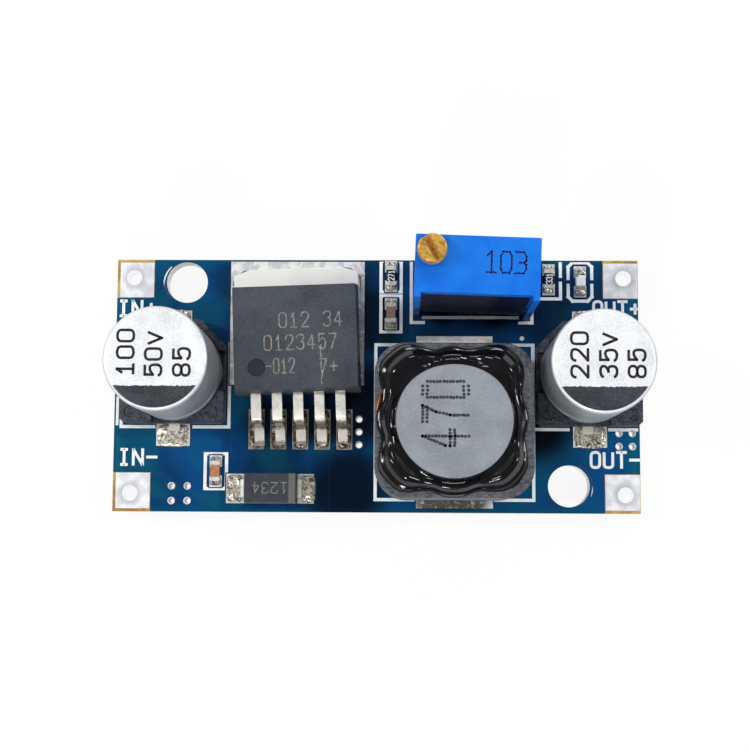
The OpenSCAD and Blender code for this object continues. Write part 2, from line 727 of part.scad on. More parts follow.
module diode_body() {
    draft = 0.08;
    color("dimgray") seated(diode_at) difference() {
        loft([ring(diode_l - 2 * draft, diode_w - 2 * draft, diode_lead_t + tab_lift),
              ring(diode_l, diode_w, diode_h / 2),
              ring(diode_l - 2 * draft, diode_w - 2 * draft, diode_h)]);
        for (s = [-1, 1]) translate([s * diode_l / 2, 0, diode_h / 2])
            cube([1.2, diode_lead_w, diode_lead_t], center = true);
    }
}

// ---- Inductor ----

// Bore of the shield with a pocket towards each corner
module lobed_bore(r) {
    circle(r);
    for (a = [45:90:315]) rotate(a) translate([pocket_r, 0]) circle(pocket_d / 2 + r - shield_bore / 2);
}

module inductor_shield() {
    color("dimgray") seated(ind_at) translate([0, 0, ind_term_t])
        linear_extrude(shield_h - ind_term_t) difference() {
            rounded_rect(ind_l, ind_w, ind_corner);
            lobed_bore(shield_bore / 2);
        }
}

module inductor_drum_core() {
    r = drum_d / 2;
    color("gray") seated(ind_at) rotate_extrude() polygon([[0, ind_term_t], [r, ind_term_t],
        [r, ind_term_t + flange_t], [post_d / 2, ind_term_t + flange_t], [post_d / 2, ind_h - flange_t],
        [r, ind_h - flange_t], [r, ind_h - 0.1], [r - 0.1, ind_h], [0, ind_h]]);
}

module inductor_winding() {
    gap = 0.05;
    color("chocolate") seated(ind_at)
        tube(drum_d / 2 - 0.1, post_d / 2 + gap, ind_term_t + flange_t + gap, ind_h - flange_t - gap);
}

module inductor_adhesive() {
    color("black") seated(ind_at) translate([0, 0, shield_h - glue_depth])
        linear_extrude(glue_depth + ind_step * 0.7) difference() {
            lobed_bore(shield_bore / 2 - glue_gap);
            circle(drum_d / 2 + glue_gap);
        }
}

module inductor_terminals() {
    y = ind_w / 2 + 0.3 - ind_term_l / 2;
    color("silver") seated(ind_at) for (s = [-1, 1]) translate([0, s * y, ind_term_t / 2])
        cube([ind_term_w, ind_term_l, ind_term_t], center = true);
}

// ---- Can capacitors ----

// Half section of a can: rounded upper edge and a crimped groove near the foot
function can_section() =
    let (r = can_d / 2, half = 0.5)
    concat([[0, base_t], [r - 0.2, base_t], [r, base_t + 0.2], [r, crimp_z - half]],
        [for (a = [-60:30:60]) [r - crimp_depth * cos(a * 1.5), crimp_z + half * a / 90]],
        [[r, crimp_z + half]],
        [for (a = [0:22.5:90]) [r - can_edge + can_edge * cos(a), can_h - can_edge + can_edge * sin(a)]],
        [[0, can_h]]);

module can(c) {
    color("lightgray") seated(c) rotate_extrude() polygon(can_section());
}

// Route of a capacitor lead along the pad, out from under the base
module can_lead(grow) {
    y0 = can_wire_y - can_wire_r;
    y1 = base_side / 2 + can_lead_out;
    translate([-can_lead_w / 2 - grow, y0 - grow, 0])
        cube([can_lead_w + 2 * grow, y1 - y0 + grow, can_lead_t + grow]);
    translate([0, can_wire_y, 0]) cylinder(h = base_t, r = can_wire_r + grow);
}

module can_leads(c) {
    color("silver") seated(c) for (s = [0, 180]) rotate(s) can_lead(0);
}

// Square base plate with four corner posts around the can; the two upper corners are cut off
module can_base(c) {
    h = base_side / 2;
    nick = 0.3;
    color("black") seated(c) difference() {
        linear_extrude(base_post_h) polygon([[nick - h, -h], [h - nick, -h], [h, nick - h],
            [h, h - base_chamfer], [h - base_chamfer, h], [base_chamfer - h, h],
            [-h, h - base_chamfer], [-h, nick - h]]);
        translate([0, 0, base_t]) cylinder(h = base_post_h, r = can_d / 2 + can_gap);
        translate([0, 0, base_t + base_post_h / 2]) cube([post_gap, 2 * base_side, base_post_h], center = true);
        translate([0, 0, base_t + base_post_h / 2]) cube([2 * base_side, post_gap, base_post_h], center = true);
        for (s = [0, 180]) rotate(s) can_lead(can_lead_slot);
        for (s = [-1, 1]) translate([s * (h - 0.85), 0.85 - h, base_post_h - 0.12]) cylinder(h = 1, d = 1);
    }
}

module input_capacitor_can() can(input_can_at);
module input_capacitor_base() can_base(input_can_at);
module input_capacitor_leads() can_leads(input_can_at);
module output_capacitor_can() can(output_can_at);
module output_capacitor_base() can_base(output_can_at);
module output_capacitor_leads() can_leads(output_can_at);

// ---- Trimmer ----

// Cylinder along Y from y0 to y1, centred on the rotor's axis
module on_rotor_axis(r, y0, y1) {
    translate([rotor_x, y1, rotor_z]) rotate([90, 0, 0]) cylinder(h = y1 - y0, r = r);
}

module trimmer_housing() {
    color("royalblue") seated(trim_at, trim_turn) {
        difference() {
            translate([-trim_l / 2, -trim_w / 2, 0]) cube([trim_l, trim_w, trim_h]);
            // gap under the housing, between its two feet
            translate([-trim_l / 2 + 1, -trim_w, -1]) cube([trim_l - 2, 2 * trim_w, 1 + trim_foot]);
            // shallow recess over the open side, and the cavity behind it
            translate([recess_end - trim_l / 2, -trim_w, -1])
                cube([trim_l - 2 * recess_end, trim_w + front_y, trim_h + 2]);
            translate([-cavity_x, -trim_w, floor_z]) cube([2 * cavity_x, trim_w + back_y, roof_z - floor_z]);
            // tunnel for the worm, bores for the shaft and for the screw's tip
            translate([screw_at[0], screw_at[1], floor_z]) cylinder(h = roof_z - floor_z, r = tunnel_r);
            translate([screw_at[0], screw_at[1], floor_z]) cylinder(h = trim_h, r = shaft_d / 2 + run_gap);
            translate([screw_at[0], screw_at[1], tip_z]) cylinder(h = floor_t, r = tip_d / 2 + run_gap);
            // clearance holes for the pins
            for (x = pins_x) translate([x, pin_y, 0]) cylinder(h = floor_z + 1, r = pin_d / 2);
        }
        on_rotor_axis(axle_d / 2, hub_y + run_gap, back_y + trim_wall / 2);
    }
}

// Half section of the screw: tip, worm, collar, shaft and head
function screw_section() =
    let (head_z = trim_h + head_gap, top = head_z + head_h, edge = 0.15)
    [[0, tip_z + run_gap], [tip_d / 2, tip_z + run_gap], [tip_d / 2, floor_z + run_gap],
     [worm_d / 2, floor_z + run_gap], [worm_d / 2, collar_z], [collar_d / 2, collar_z],
     [collar_d / 2, collar_z + collar_t], [shaft_d / 2, collar_z + collar_t], [shaft_d / 2, head_z],
     [head_d / 2, head_z], [head_d / 2, top - edge], [head_d / 2 - edge, top], [0, top]];

module trimmer_screw() {
    color("goldenrod") seated(trim_at, trim_turn) translate([screw_at[0], screw_at[1], 0]) difference() {
        rotate_extrude() polygon(screw_section());
        rotate(slot_turn) translate([0, 0, trim_h + head_gap + head_h])
            cube([2 * head_d, slot_w, 2 * slot_depth], center = true);
    }
}

module trimmer_seal() {
    color("black") seated(trim_at, trim_turn) translate([screw_at[0], screw_at[1], 0])
        tube(collar_d / 2, shaft_d / 2 + run_gap, roof_z - seal_t, roof_z);
}

// Outline of the toothed rim
module rotor_rim() {
    step = 360 / rotor_teeth;
    polygon([for (k = [0:rotor_teeth - 1]) for (q = [[-0.35, 0], [-0.15, 1], [0.15, 1], [0.35, 0]])
        let (r = rotor_d / 2 - tooth_h * (1 - q[1])) r * [cos((k + q[0]) * step), sin((k + q[0]) * step)]]);
}

module trimmer_rotor() {
    color("ivory") seated(trim_at, trim_turn) difference() {
        union() {
            translate([rotor_x, rotor_y + rotor_t, rotor_z]) rotate([90, 0, 0])
                linear_extrude(rotor_t) rotor_rim();
            on_rotor_axis(hub_d / 2, hub_y, rotor_y + rotor_t / 2);
        }
        on_rotor_axis(axle_d / 2 + run_gap, -trim_w, trim_w);
    }
}

// Spring disc on the rotor's hub, with a contact that runs on the element
module trimmer_wiper() {
    color("gold") seated(trim_at, trim_turn) {
        on_rotor_axis(hub_d / 2, wiper_y, wiper_y + wiper_t);
        translate([rotor_x - wiper_w / 2, wiper_y, rotor_z]) cube([wiper_w, wiper_t, rotor_d / 2 - 0.2]);
        translate([rotor_x - wiper_w / 2, wiper_y - contact_t, rotor_z + rotor_d / 2 - 0.6])
            cube([wiper_w, contact_t + wiper_t, 0.4]);
    }
}

module trimmer_element() {
    color("white") seated(trim_at, trim_turn) translate([0.2 - cavity_x, element_y, floor_z + 0.3])
        cube([2 * cavity_x - 0.4, element_t, roof_z - floor_z - 0.6]);
}

module trimmer_pins() {
    color("silver") seated(trim_at, trim_turn) for (x = pins_x) translate([x, pin_y, -seat_z - pin_out])
        cylinder(h = seat_z + pin_out + pin_top, d = pin_d);
}

module trimmer_potting() {
    color("midnightblue") seated(trim_at, trim_turn) difference() {
        translate([-cavity_x, front_y, floor_z]) cube([2 * cavity_x, potting_t, roof_z - floor_z]);
        for (x = pins_x) translate([x, pin_y, 0]) cylinder(h = pin_top, d = pin_d);
    }
}

// ---- Chip parts, each with its length along Y ----

// Ceramic core of a chip part
module chip_core(h) {
    translate([0, 0, h / 2])
        cube([chip_w - 2 * end_skin, chip_l - 2 * end_skin, h - 2 * end_skin], center = true);
}

module chip_body(c, h) seated(c) chip_core(h);

module chip_ends(c, h) {
    seated(c) difference() {
        for (s = [-1, 1]) translate([0, s * (chip_l - end_cap) / 2, h / 2])
            cube([chip_w, end_cap, h], center = true);
        chip_core(h);
    }
}

module led_resistor_body() color("black") chip_body(led_resistor_at, resistor_h);
module led_resistor_ends() color("silver") chip_ends(led_resistor_at, resistor_h);
module feedback_resistor_body() color("black") chip_body(feedback_resistor_at, resistor_h);
module feedback_resistor_ends() color("silver") chip_ends(feedback_resistor_at, resistor_h);
module feedback_capacitor_body() color("peru") chip_body(feedback_capacitor_at, ceramic_h);
module feedback_capacitor_ends() color("silver") chip_ends(feedback_capacitor_at, ceramic_h);
module bypass_capacitor_body() color("peru") chip_body(bypass_at, ceramic_h);
module bypass_capacitor_ends() color("silver") chip_ends(bypass_at, ceramic_h);

module led_board() {
    color("white") seated(led_at) translate([0, 0, led_board_t / 2 + end_skin])
        cube([chip_w, chip_l - 2 * end_cap, led_board_t], center = true);
}

module led_lens() {
    z0 = led_board_t + end_skin;
    color("cornsilk") seated(led_at)
        loft([ring(chip_w, lens_l, z0), ring(chip_w - 0.04, lens_l - 0.2, led_h)]);
}

module led_terminals() {
    color("silver") seated(led_at) for (s = [-1, 1]) translate([0, s * (chip_l - end_cap) / 2, 0])
        linear_extrude(led_board_t + end_skin) difference() {
            square([chip_w, end_cap], center = true);
            translate([0, s * end_cap / 2]) circle(chip_w / 4);
        }
}

circuit_board();
solder_mask_top();
solder_mask_bottom();
ink_outlines();
component_pads();
via_barrels();
in_plus_terminal();
in_minus_terminal();
out_plus_terminal();
out_minus_terminal();
trimmer_pads();
solder_fillets();
trimmer_solder();
regulator_body();
regulator_tab();
regulator_leads();
diode_body();
diode_leads();
inductor_shield();
inductor_drum_core();
inductor_winding();
inductor_adhesive();
inductor_terminals();
input_capacitor_can();
input_capacitor_base();
input_capacitor_leads();
output_capacitor_can();
output_capacitor_base();
output_capacitor_leads();
trimmer_housing();
trimmer_screw();
trimmer_seal();
trimmer_rotor();
trimmer_wiper();
trimmer_element();
trimmer_potting();
trimmer_pins();
led_board();
led_lens();
led_terminals();
led_resistor_body();
led_resistor_ends();
feedback_resistor_body();
feedback_resistor_ends();
feedback_capacitor_body();
feedback_capacitor_ends();
bypass_capacitor_body();
bypass_capacitor_ends();
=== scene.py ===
"""Buck converter module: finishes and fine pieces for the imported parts, studio and camera."""

import logging
import math
from dataclasses import dataclass, replace
from enum import Enum
from functools import reduce
from typing import Any, Iterator, Sequence

import bmesh
import bpy
from mathutils import Matrix, Vector, noise


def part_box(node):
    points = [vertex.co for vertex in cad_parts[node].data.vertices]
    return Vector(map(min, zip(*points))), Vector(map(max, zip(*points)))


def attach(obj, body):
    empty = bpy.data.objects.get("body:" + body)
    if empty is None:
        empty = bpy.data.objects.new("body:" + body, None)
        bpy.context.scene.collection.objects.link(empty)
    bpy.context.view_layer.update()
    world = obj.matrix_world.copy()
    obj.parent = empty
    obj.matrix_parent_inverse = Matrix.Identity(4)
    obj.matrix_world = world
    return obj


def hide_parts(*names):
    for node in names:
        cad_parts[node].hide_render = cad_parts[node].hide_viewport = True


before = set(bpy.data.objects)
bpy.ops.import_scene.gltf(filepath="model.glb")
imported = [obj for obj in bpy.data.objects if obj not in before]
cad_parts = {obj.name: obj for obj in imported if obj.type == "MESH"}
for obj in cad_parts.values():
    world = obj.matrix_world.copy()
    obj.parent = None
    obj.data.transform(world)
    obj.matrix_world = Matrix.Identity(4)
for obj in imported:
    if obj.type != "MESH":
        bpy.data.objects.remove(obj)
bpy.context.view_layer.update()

LOG = logging.getLogger("buck_converter")
MM = 0.001  # a millimetre in metres; the sizes below are in millimetres
BOARD_TOP = 1.6  # height of the bare board's top face
SEAT = 1.64  # height of the pads' faces, on which the parts stand
BOARD = "board"
Colour = tuple[float, float, float, float]
Size = tuple[float, float, float]
SEED = 7  # of the noise that shakes the dots
WHITE: Colour = (1.0, 1.0, 1.0, 1.0)


def tone(red: int, green: int, blue: int) -> Colour:
    """Turn a paint-card colour into the linear one that shaders take, by the display's curve.

    Args:
        red: Red part, 0 to 255.
        green: Green part, 0 to 255.
        blue: Blue part, 0 to 255.

    Returns:
        The linear colour with full opacity.
    """
    parts = [part / 255 for part in (red, green, blue)]
    linear = [
        part / 12.92 if part <= 0.04045 else ((part + 0.055) / 1.055) ** 2.4 for part in parts
    ]
    return (linear[0], linear[1], linear[2], 1.0)


class Slot(str, Enum):
    """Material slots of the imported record."""

    LAMINATE = "laminate"
    MASK = "solder_mask"
    INK = "white_ink"
    PAD = "tinned_copper"
    SOLDER = "solder"
    MOULDING = "moulding_compound"
    TAB = "tinned_tab"
    LEAD = "tinned_lead"
    SHIELD = "shield_ferrite"
    DRUM = "drum_ferrite"
    WIRE = "copper_wire"
    ADHESIVE = "black_adhesive"
    CAN = "can_aluminium"
    BASE = "base_plastic"
    HOUSING = "blue_housing"
    BRASS = "screw_brass"
    SEAL = "seal_rubber"
    ROTOR = "rotor_plastic"
    WIPER = "wiper_spring"
    CERAMIC = "white_ceramic"
    POTTING = "navy_potting"
    LED_BASE = "led_base"
    LED_RESIN = "led_resin"
    GLASS = "resistor_glass"
    CHIP = "capacitor_ceramic"


# ---- Shader building ----


class Wire:
    """An output socket that takes part in Python expressions."""

    def __init__(self, shader: "Shader", socket: bpy.types.NodeSocket) -> None:
        """Keep the socket and the shader that it belongs to."""
        self.shader = shader
        self.socket = socket

    def maths(self, operation: str, *values: Any) -> "Wire":
        """Add a Math node.

        Args:
            operation: Name of the operation.
            values: Numbers or wires, in the order of the node's sockets.

        Returns:
            The node's result.
        """
        made = self.shader.node("ShaderNodeMath", {"operation": operation}, dict(enumerate(values)))
        return Wire(self.shader, made.outputs[0])

    def __add__(self, other: Any) -> "Wire":
        """Sum."""
        return self.maths("ADD", self, other)

    def __radd__(self, other: Any) -> "Wire":
        """Sum, with the number first."""
        return self.maths("ADD", other, self)

    def __sub__(self, other: Any) -> "Wire":
        """Difference."""
        return self.maths("SUBTRACT", self, other)

    def __rsub__(self, other: Any) -> "Wire":
        """Difference, with the number first."""
        return self.maths("SUBTRACT", other, self)

    def __mul__(self, other: Any) -> "Wire":
        """Product."""
        return self.maths("MULTIPLY", self, other)

    def __rmul__(self, other: Any) -> "Wire":
        """Product, with the number first."""
        return self.maths("MULTIPLY", other, self)

    def __pow__(self, other: Any) -> "Wire":
        """Power."""
        return self.maths("POWER", self, other)

    def __abs__(self) -> "Wire":
        """Size without sign."""
        return self.maths("ABSOLUTE", self)

    def most(self, other: Any) -> "Wire":
        """Return the larger of this value and another."""
        return self.maths("MAXIMUM", self, other)

    def rise(self, low: float, high: float) -> "Wire":
        """Rise smoothly from 0 to 1.

        Args:
            low: Value at which the rise starts.
            high: Value at which it ends; below low for a fall.

        Returns:
            The risen value, from 0 to 1.
        """
        span = (low, high, 0.0, 1.0) if low < high else (high, low, 1.0, 0.0)
        ends = dict(zip(("From Min", "From Max", "To Min", "To Max"), span))
        made = self.shader.node(
            "ShaderNodeMapRange", {"interpolation_type": "SMOOTHSTEP"}, {"Value": self, **ends}
        )
        return Wire(self.shader, made.outputs[0])


@dataclass(frozen=True)
class Spot:
    """Place on a surface, in millimetres of the shared frame."""

    vector: Wire
    x: Wire
    y: Wire
    z: Wire

    def away(self, x: float, y: float) -> Wire:
        """Return the level distance from an upright axis at x and y."""
        return ((self.x - x) ** 2 + (self.y - y) ** 2) ** 0.5

    def depth(self) -> Wire:
        """Return the depth below the nearer face of the bare board, negative outside it."""
        return BOARD_TOP / 2 - abs(self.z - BOARD_TOP / 2)

    def within(self, box: tuple[float, float, float, float], soft: tuple[float, float]) -> Wire:
        """Find the inside of an upright box.

        Args:
            box: Its middle along X and Y, and half of its size along each.
            soft: Width of the change inside its sides along X and Y.

        Returns:
            1 inside the box and 0 outside it.
        """
        x, y, half, reach = box
        across = abs(self.x - x).rise(half, half - soft[0])
        return across * abs(self.y - y).rise(reach, reach - soft[1])


class Shader:
    """A node material, or the room's light, under construction."""

    def __init__(self, name: str, owner: Any = None) -> None:
        """Start an empty node tree.

        Args:
            name: Name of the new material.
            owner: Data block that takes the tree instead of a new material.
        """
        self.material = owner or bpy.data.materials.new(name)
        self.material.use_nodes = True
        self.tree = self.material.node_tree
        self.tree.nodes.clear()

    def node(
        self,
        kind: str,
        settings: dict[str, Any] | None = None,
        inputs: dict[Any, Any] | None = None,
    ) -> bpy.types.Node:
        """Add one node.

        Args:
            kind: Type name of the node.
            settings: Its settings.
            inputs: Values or wires by socket name or number.

        Returns:
            The new node.
        """
        made = self.tree.nodes.new(kind)
        for key, value in (settings or {}).items():
            setattr(made, key, value)
        for key, value in (inputs or {}).items():
            if isinstance(value, Wire):
                self.tree.links.new(value.socket, made.inputs[key])
            else:
                made.inputs[key].default_value = value
        return made

    def rays(self) -> tuple[Wire, Wire]:
        """Tell the kinds of ray apart.

        Returns:
            1 for the camera's own rays, and 1 for those that a mirror or glass sends on.
        """
        kinds = self.node("ShaderNodeLightPath").outputs
        mirrored = Wire(self, kinds["Is Glossy Ray"]).most(Wire(self, kinds["Is Transmission Ray"]))
        return Wire(self, kinds["Is Camera Ray"]), mirrored

    def spot(self) -> Spot:
        """Read the place on the surface.

        Returns:
            The place, in millimetres.
        """
        place = self.node("ShaderNodeTexCoord").outputs["Object"]
        scale = {0: Wire(self, place), "Scale": 1 / MM}
        scaled = self.node("ShaderNodeVectorMath", {"operation": "SCALE"}, scale)
        vector = Wire(self, scaled.outputs[0])
        parts = self.node("ShaderNodeSeparateXYZ", None, {0: vector}).outputs
        return Spot(vector, *[Wire(self, part) for part in parts])

    def stretched(self, vector: Wire, scale: Size, turn: float = 0.0) -> Wire:
        """Stretch a pattern.

        Args:
            vector: Place to read the pattern at.
            scale: Factor along each axis.
            turn: Turn about Z first, in degrees.

        Returns:
            The place with the stretch applied.
        """
        made = self.node(
            "ShaderNodeMapping",
            None,
            {"Vector": vector, "Rotation": (0.0, 0.0, math.radians(turn)), "Scale": scale},
        )
        return Wire(self, made.outputs[0])

    def cloud(self, vector: Wire, size: float, detail: float = 2.0, warp: float = 0.0) -> Wire:
        """Noise pattern.

        Args:
            vector: Place to read the pattern at.
            size: Size of its patches, in millimetres.
            detail: Octaves of finer detail.
            warp: Distortion.

        Returns:
            A value around 0.5.
        """
        made = self.node(
            "ShaderNodeTexNoise",
            None,
            {"Vector": vector, "Scale": 1 / size, "Detail": detail, "Distortion": warp},
        )
        return Wire(self, made.outputs[0])

    def cells(self, vector: Wire, size: float) -> Wire:
        """Distance to the nearest of scattered points.

        Args:
            vector: Place to read the pattern at.
            size: Size of a cell, in millimetres.

        Returns:
            The distance, 0 at a point.
        """
        made = self.node("ShaderNodeTexVoronoi", None, {"Vector": vector, "Scale": 1 / size})
        return Wire(self, made.outputs[0])

    def mix(self, first: Any, second: Any, share: Any) -> Wire:
        """Mix two colours.

        Args:
            first: Colour at share 0.
            second: Colour at share 1.
            share: Value or wire from 0 to 1.

        Returns:
            The mixed colour.
        """
        made = self.node("ShaderNodeMix", {"data_type": "RGBA"}, {0: share, 6: first, 7: second})
        return Wire(self, made.outputs[2])

    def surface(
        self, colour: Any, rough: Any, metallic: Any, height: Wire, relief: float, **fixed: Any
    ) -> bpy.types.Material:
        """Close the material with one shader.

        Args:
            colour: Base colour.
            rough: Roughness.
            metallic: Share of metal.
            height: Relief pattern, 0 to 1.
            relief: Depth of the relief, in millimetres.
            fixed: Further sockets that hold one number all over.

        Returns:
            The finished material.
        """
        inputs = {"Base Color": colour, "Roughness": rough, "Metallic": metallic}
        inputs.update({key.replace("_", " "): value for key, value in fixed.items()})
        raised = self.node("ShaderNodeBump", None, {"Height": height, "Distance": relief * MM})
        inputs["Normal"] = Wire(self, raised.outputs[0])
        closed = Wire(self, self.node("ShaderNodeBsdfPrincipled", None, inputs).outputs[0])
        self.node("ShaderNodeOutputMaterial", None, {"Surface": closed})
        return self.material


# ---- Finishes ----

MATERIALS: dict["Finish", bpy.types.Material] = {}


@dataclass(frozen=True)
class Finish:
    """A mottled finish with a fine grain; the plain ones are used as they are.

    Patches, grain and the relief's depth are in millimetres. Smooth and dull are the two ends of
    the roughness, and speck is the share that the fine grain has in the colour.
    """

    slot: Slot
    colour: Colour
    other: Colour
    patch: float = 2.0
    grain: float = 0.15
    relief: float = 0.01
    smooth: float = 0.35
    dull: float = 0.5
    metallic: float = 0.0
    coat: float = 0.0
    shine: float = 0.5
    speck: float = 0.0
    contrast: tuple[float, float] = (0.35, 0.65)

    def paint(self, shader: Shader, at: Spot) -> Wire:
        """Return the colour at a place.

        Args:
            shader: Material under construction.
            at: Place on the surface.

        Returns:
            The mottled colour.
        """
        share = shader.cloud(at.vector, self.patch, 4).rise(*self.contrast)
        if self.speck:
            fine = shader.cloud(at.vector, self.grain, 2).rise(0.4, 0.6)
            share = share * (1 - self.speck) + fine * self.speck
        return shader.mix(self.colour, self.other, share)

    def gloss(self, shader: Shader, at: Spot) -> Wire:
        """Return the roughness at a place."""
        return shader.cloud(at.vector, self.patch / 2, 3) * (self.dull - self.smooth) + self.smooth

    def metal(self, shader: Shader, at: Spot) -> Any:
        """Return the share of metal at a place."""
        return self.metallic

    def height(self, shader: Shader, at: Spot) -> Wire:
        """Return the relief at a place, 0 to 1."""
        return shader.cloud(at.vector, self.grain, 3)

    def material(self) -> bpy.types.Material:
        """Return the finish's material, which is made on first use.

        Returns:
            The material, the same one each time.
        """
        if self not in MATERIALS:
            shader = Shader(self.slot.value)
            at = shader.spot()
            MATERIALS[self] = shader.surface(
                self.paint(shader, at),
                self.gloss(shader, at),
                self.metal(shader, at),
                self.height(shader, at),
                self.relief,
                Coat_Weight=self.coat,
                Specular_IOR_Level=self.shine,
            )
        return MATERIALS[self]


@dataclass(frozen=True)
class MaskFinish(Finish):
    """Solder mask: deeper over bare laminate and under painted shade, teal where it is thin.

    It thins towards the board's ends, back and front, which each give where that starts and ends.
    A spot of painted shade is x, y, reach and share; a copper pour is its left, low, right
    and high edge.
    """

    teal: Colour = tone(2, 88, 112)
    # Colour of the deeper lacquer over bare laminate, and of the painted shade
    deep: Colour = tone(2, 9, 24)
    flow: float = 7.0
    thinning: float = 4.5
    ends: tuple[float, float] = (19.4, 21.4)
    back: tuple[float, float] = (9.57, 10.27)
    front: tuple[float, float] = (-9.8, -10.5)
    bare_shade: float = 0.16
    # Share of each spot's reach that takes the full painted shade
    painted_shade_core: float = 0.35
    # Spots of painted shade round and under the parts, painted on the board's top face only
    painted_shade_spots: tuple[tuple[float, float, float, float], ...] = (
        (13.2, -3.4, 4.4, 1.0),
        (-0.8, -1.8, 5.2, 0.95),
        (-8.9, -3.1, 2.5, 0.9),
        (-7.1, -3.1, 2.5, 0.95),
        (-5.3, -3.1, 2.5, 0.95),
        (-3.5, -3.1, 2.5, 0.95),
        (-2.4, -8.8, 5.2, 0.9),
        (-0.2, 5.4, 4.6, 0.85),
        (0.6, 9.2, 3.4, 0.6),
        (13.4, 7.2, 4.6, 0.7),
        (-12.0, 8.6, 2.6, 0.45),
        (6.6, 3.2, 5.6, 0.5),
        (5.4, 6.4, 2.6, 1.0),
        (9.8, 6.4, 2.6, 1.0),
    )
    shoulder: float = 0.18
    copper: tuple[tuple[float, float, float, float], ...] = (
        (-21.3, -10.4, -12.6, -4.4),
        (-21.3, 4.4, -12.4, 10.1),
        (-12.0, -6.3, -1.9, 2.4),
        (-3.9, -10.4, 2.0, -6.2),
        (-0.6, -5.4, 0.0, 4.2),
        (2.2, 2.3, 13.2, 5.2),
        (13.0, -10.4, 21.3, -3.3),
        (13.4, 4.9, 18.6, 6.9),
        (18.4, 4.6, 21.3, 10.1),
        (-0.9, 6.9, 2.9, 10.1),
    )

    def pours(self, at: Spot) -> Wire:
        """Find the copper pours.

        Args:
            at: Place on the surface.

        Returns:
            1 over a pour and 0 over bare laminate, with soft shoulders.
        """
        shares = []
        for left, low, right, high in self.copper:
            half, reach = (right - left) / 2, (high - low) / 2
            box = ((left + right) / 2, (low + high) / 2, half, reach)
            shares.append(at.within(box, (self.shoulder, self.shoulder)))
        return reduce(Wire.most, shares)

    def paint(self, shader: Shader, at: Spot) -> Wire:
        """Return the lacquer's colour at a place.

        Args:
            shader: Material under construction.
            at: Place on the surface.

        Returns:
            The lacquer's colour.
        """
        flow = shader.cloud(at.vector, self.flow, 2).rise(0.4, 0.65)
        edge = abs(at.x).rise(*self.ends).most(at.y.rise(*self.back))
        edge = edge.most(at.y.rise(*self.front) * 0.6)
        thin = shader.cloud(at.vector, self.thinning, 2, 1.0).rise(0.42, 0.7) * 0.6
        body = shader.mix(self.colour, self.other, flow)
        body = shader.mix(body, self.teal, thin.most(edge * 0.8))
        # Deeper over bare laminate, then painted shade in the spots where the parts' shade falls
        shade = (1 - self.pours(at)) * self.bare_shade
        for x, y, reach, share in self.painted_shade_spots:
            spot_shade = at.away(x, y).rise(reach, reach * self.painted_shade_core)
            shade = shade.most(spot_shade * at.z.rise(0.2, 0.8) * share)
        return shader.mix(body, self.deep, shade)

    def height(self, shader: Shader, at: Spot) -> Wire:
        """Return the relief: the pours' shoulders and a faint orange peel."""
        return self.pours(at) * 0.8 + shader.cloud(at.vector, self.grain, 2) * 0.12


@dataclass(frozen=True)
class WeaveFinish(Finish):
    """Glass-fibre laminate: golden face, and pale cut edges that show the cloth in layers.

    The face is bare only at the board's corners, beyond the two distances of corner. The walls of
    the mounting holes are paler than the other cut edges.
    """

    layer: float = 0.19
    cut: Colour = tone(232, 224, 196)
    fibre: Colour = tone(204, 190, 150)
    drilled: Colour = tone(252, 251, 246)
    holes: tuple[tuple[float, float], ...] = ((-15.7, 8.2), (15.7, -8.5))
    hole_reach: tuple[float, float] = (2.1, 1.9)
    lacquer: Colour = tone(3, 16, 38)
    corner: tuple[float, float] = (17.2, 6.2)
    corner_soft: float = 0.3

    def paint(self, shader: Shader, at: Spot) -> Wire:
        """Return the resin's colour, streaked along the layers.

        Args:
            shader: Material under construction.
            at: Place on the surface.

        Returns:
            The colour of the face or of a cut edge.
        """
        layers = shader.stretched(at.vector, (0.8, 0.8, 1 / self.layer))
        streak = shader.cloud(layers, 1.0, 3).rise(0.38, 0.62)
        beyond = [
            abs(way).rise(start, start + self.corner_soft)
            for way, start in zip((at.x, at.y), self.corner)
        ]
        golden = shader.mix(self.colour, self.other, streak)
        face = shader.mix(self.lacquer, golden, beyond[0] * beyond[1])
        cut = shader.mix(self.cut, self.fibre, streak)
        for hole in self.holes:
            cut = shader.mix(cut, self.drilled, at.away(*hole).rise(*self.hole_reach) * 0.85)
        return shader.mix(face, cut, at.depth().rise(0.03, 0.06))


@dataclass(frozen=True)
class InkFinish(Finish):
    """White ink, of which only a thin arc is left at each mounting hole.

    A hole gives its place and the side, 1 or -1, on which its arc lies.
    """

    lacquer: Colour = tone(3, 62, 112)
    holes: tuple[tuple[float, float, float], ...] = ((-15.7, 8.2, 1.0), (15.7, -8.5, -1.0))
    arc_radius: float = 1.94
    reach: tuple[float, float] = (2.5, 2.4)

    def paint(self, shader: Shader, at: Spot) -> Wire:
        """Return the ink's colour, or the lacquer's where the ink has gone.

        Args:
            shader: Material under construction.
            at: Place on the surface.

        Returns:
            The colour of ink or lacquer.
        """
        ink = super().paint(shader, at)
        for x, y, side in self.holes:
            away = at.away(x, y)
            gone = abs(away - self.arc_radius).rise(0.03, 0.09)
            gone = gone.most(((at.y - y) * side).rise(0.4, -0.3))
            ink = shader.mix(ink, self.lacquer, away.rise(*self.reach) * gone)
        return ink


@dataclass(frozen=True)
class TentedFinish(Finish):
    """Plated rings whose faces are covered with lacquer, while their barrels stay bright."""

    lacquer: Colour = tone(3, 16, 38)

    def paint(self, shader: Shader, at: Spot) -> Wire:
        """Return the plating's colour, or the lacquer's on the faces."""
        return shader.mix(super().paint(shader, at), self.lacquer, at.depth().rise(0.01, -0.01))


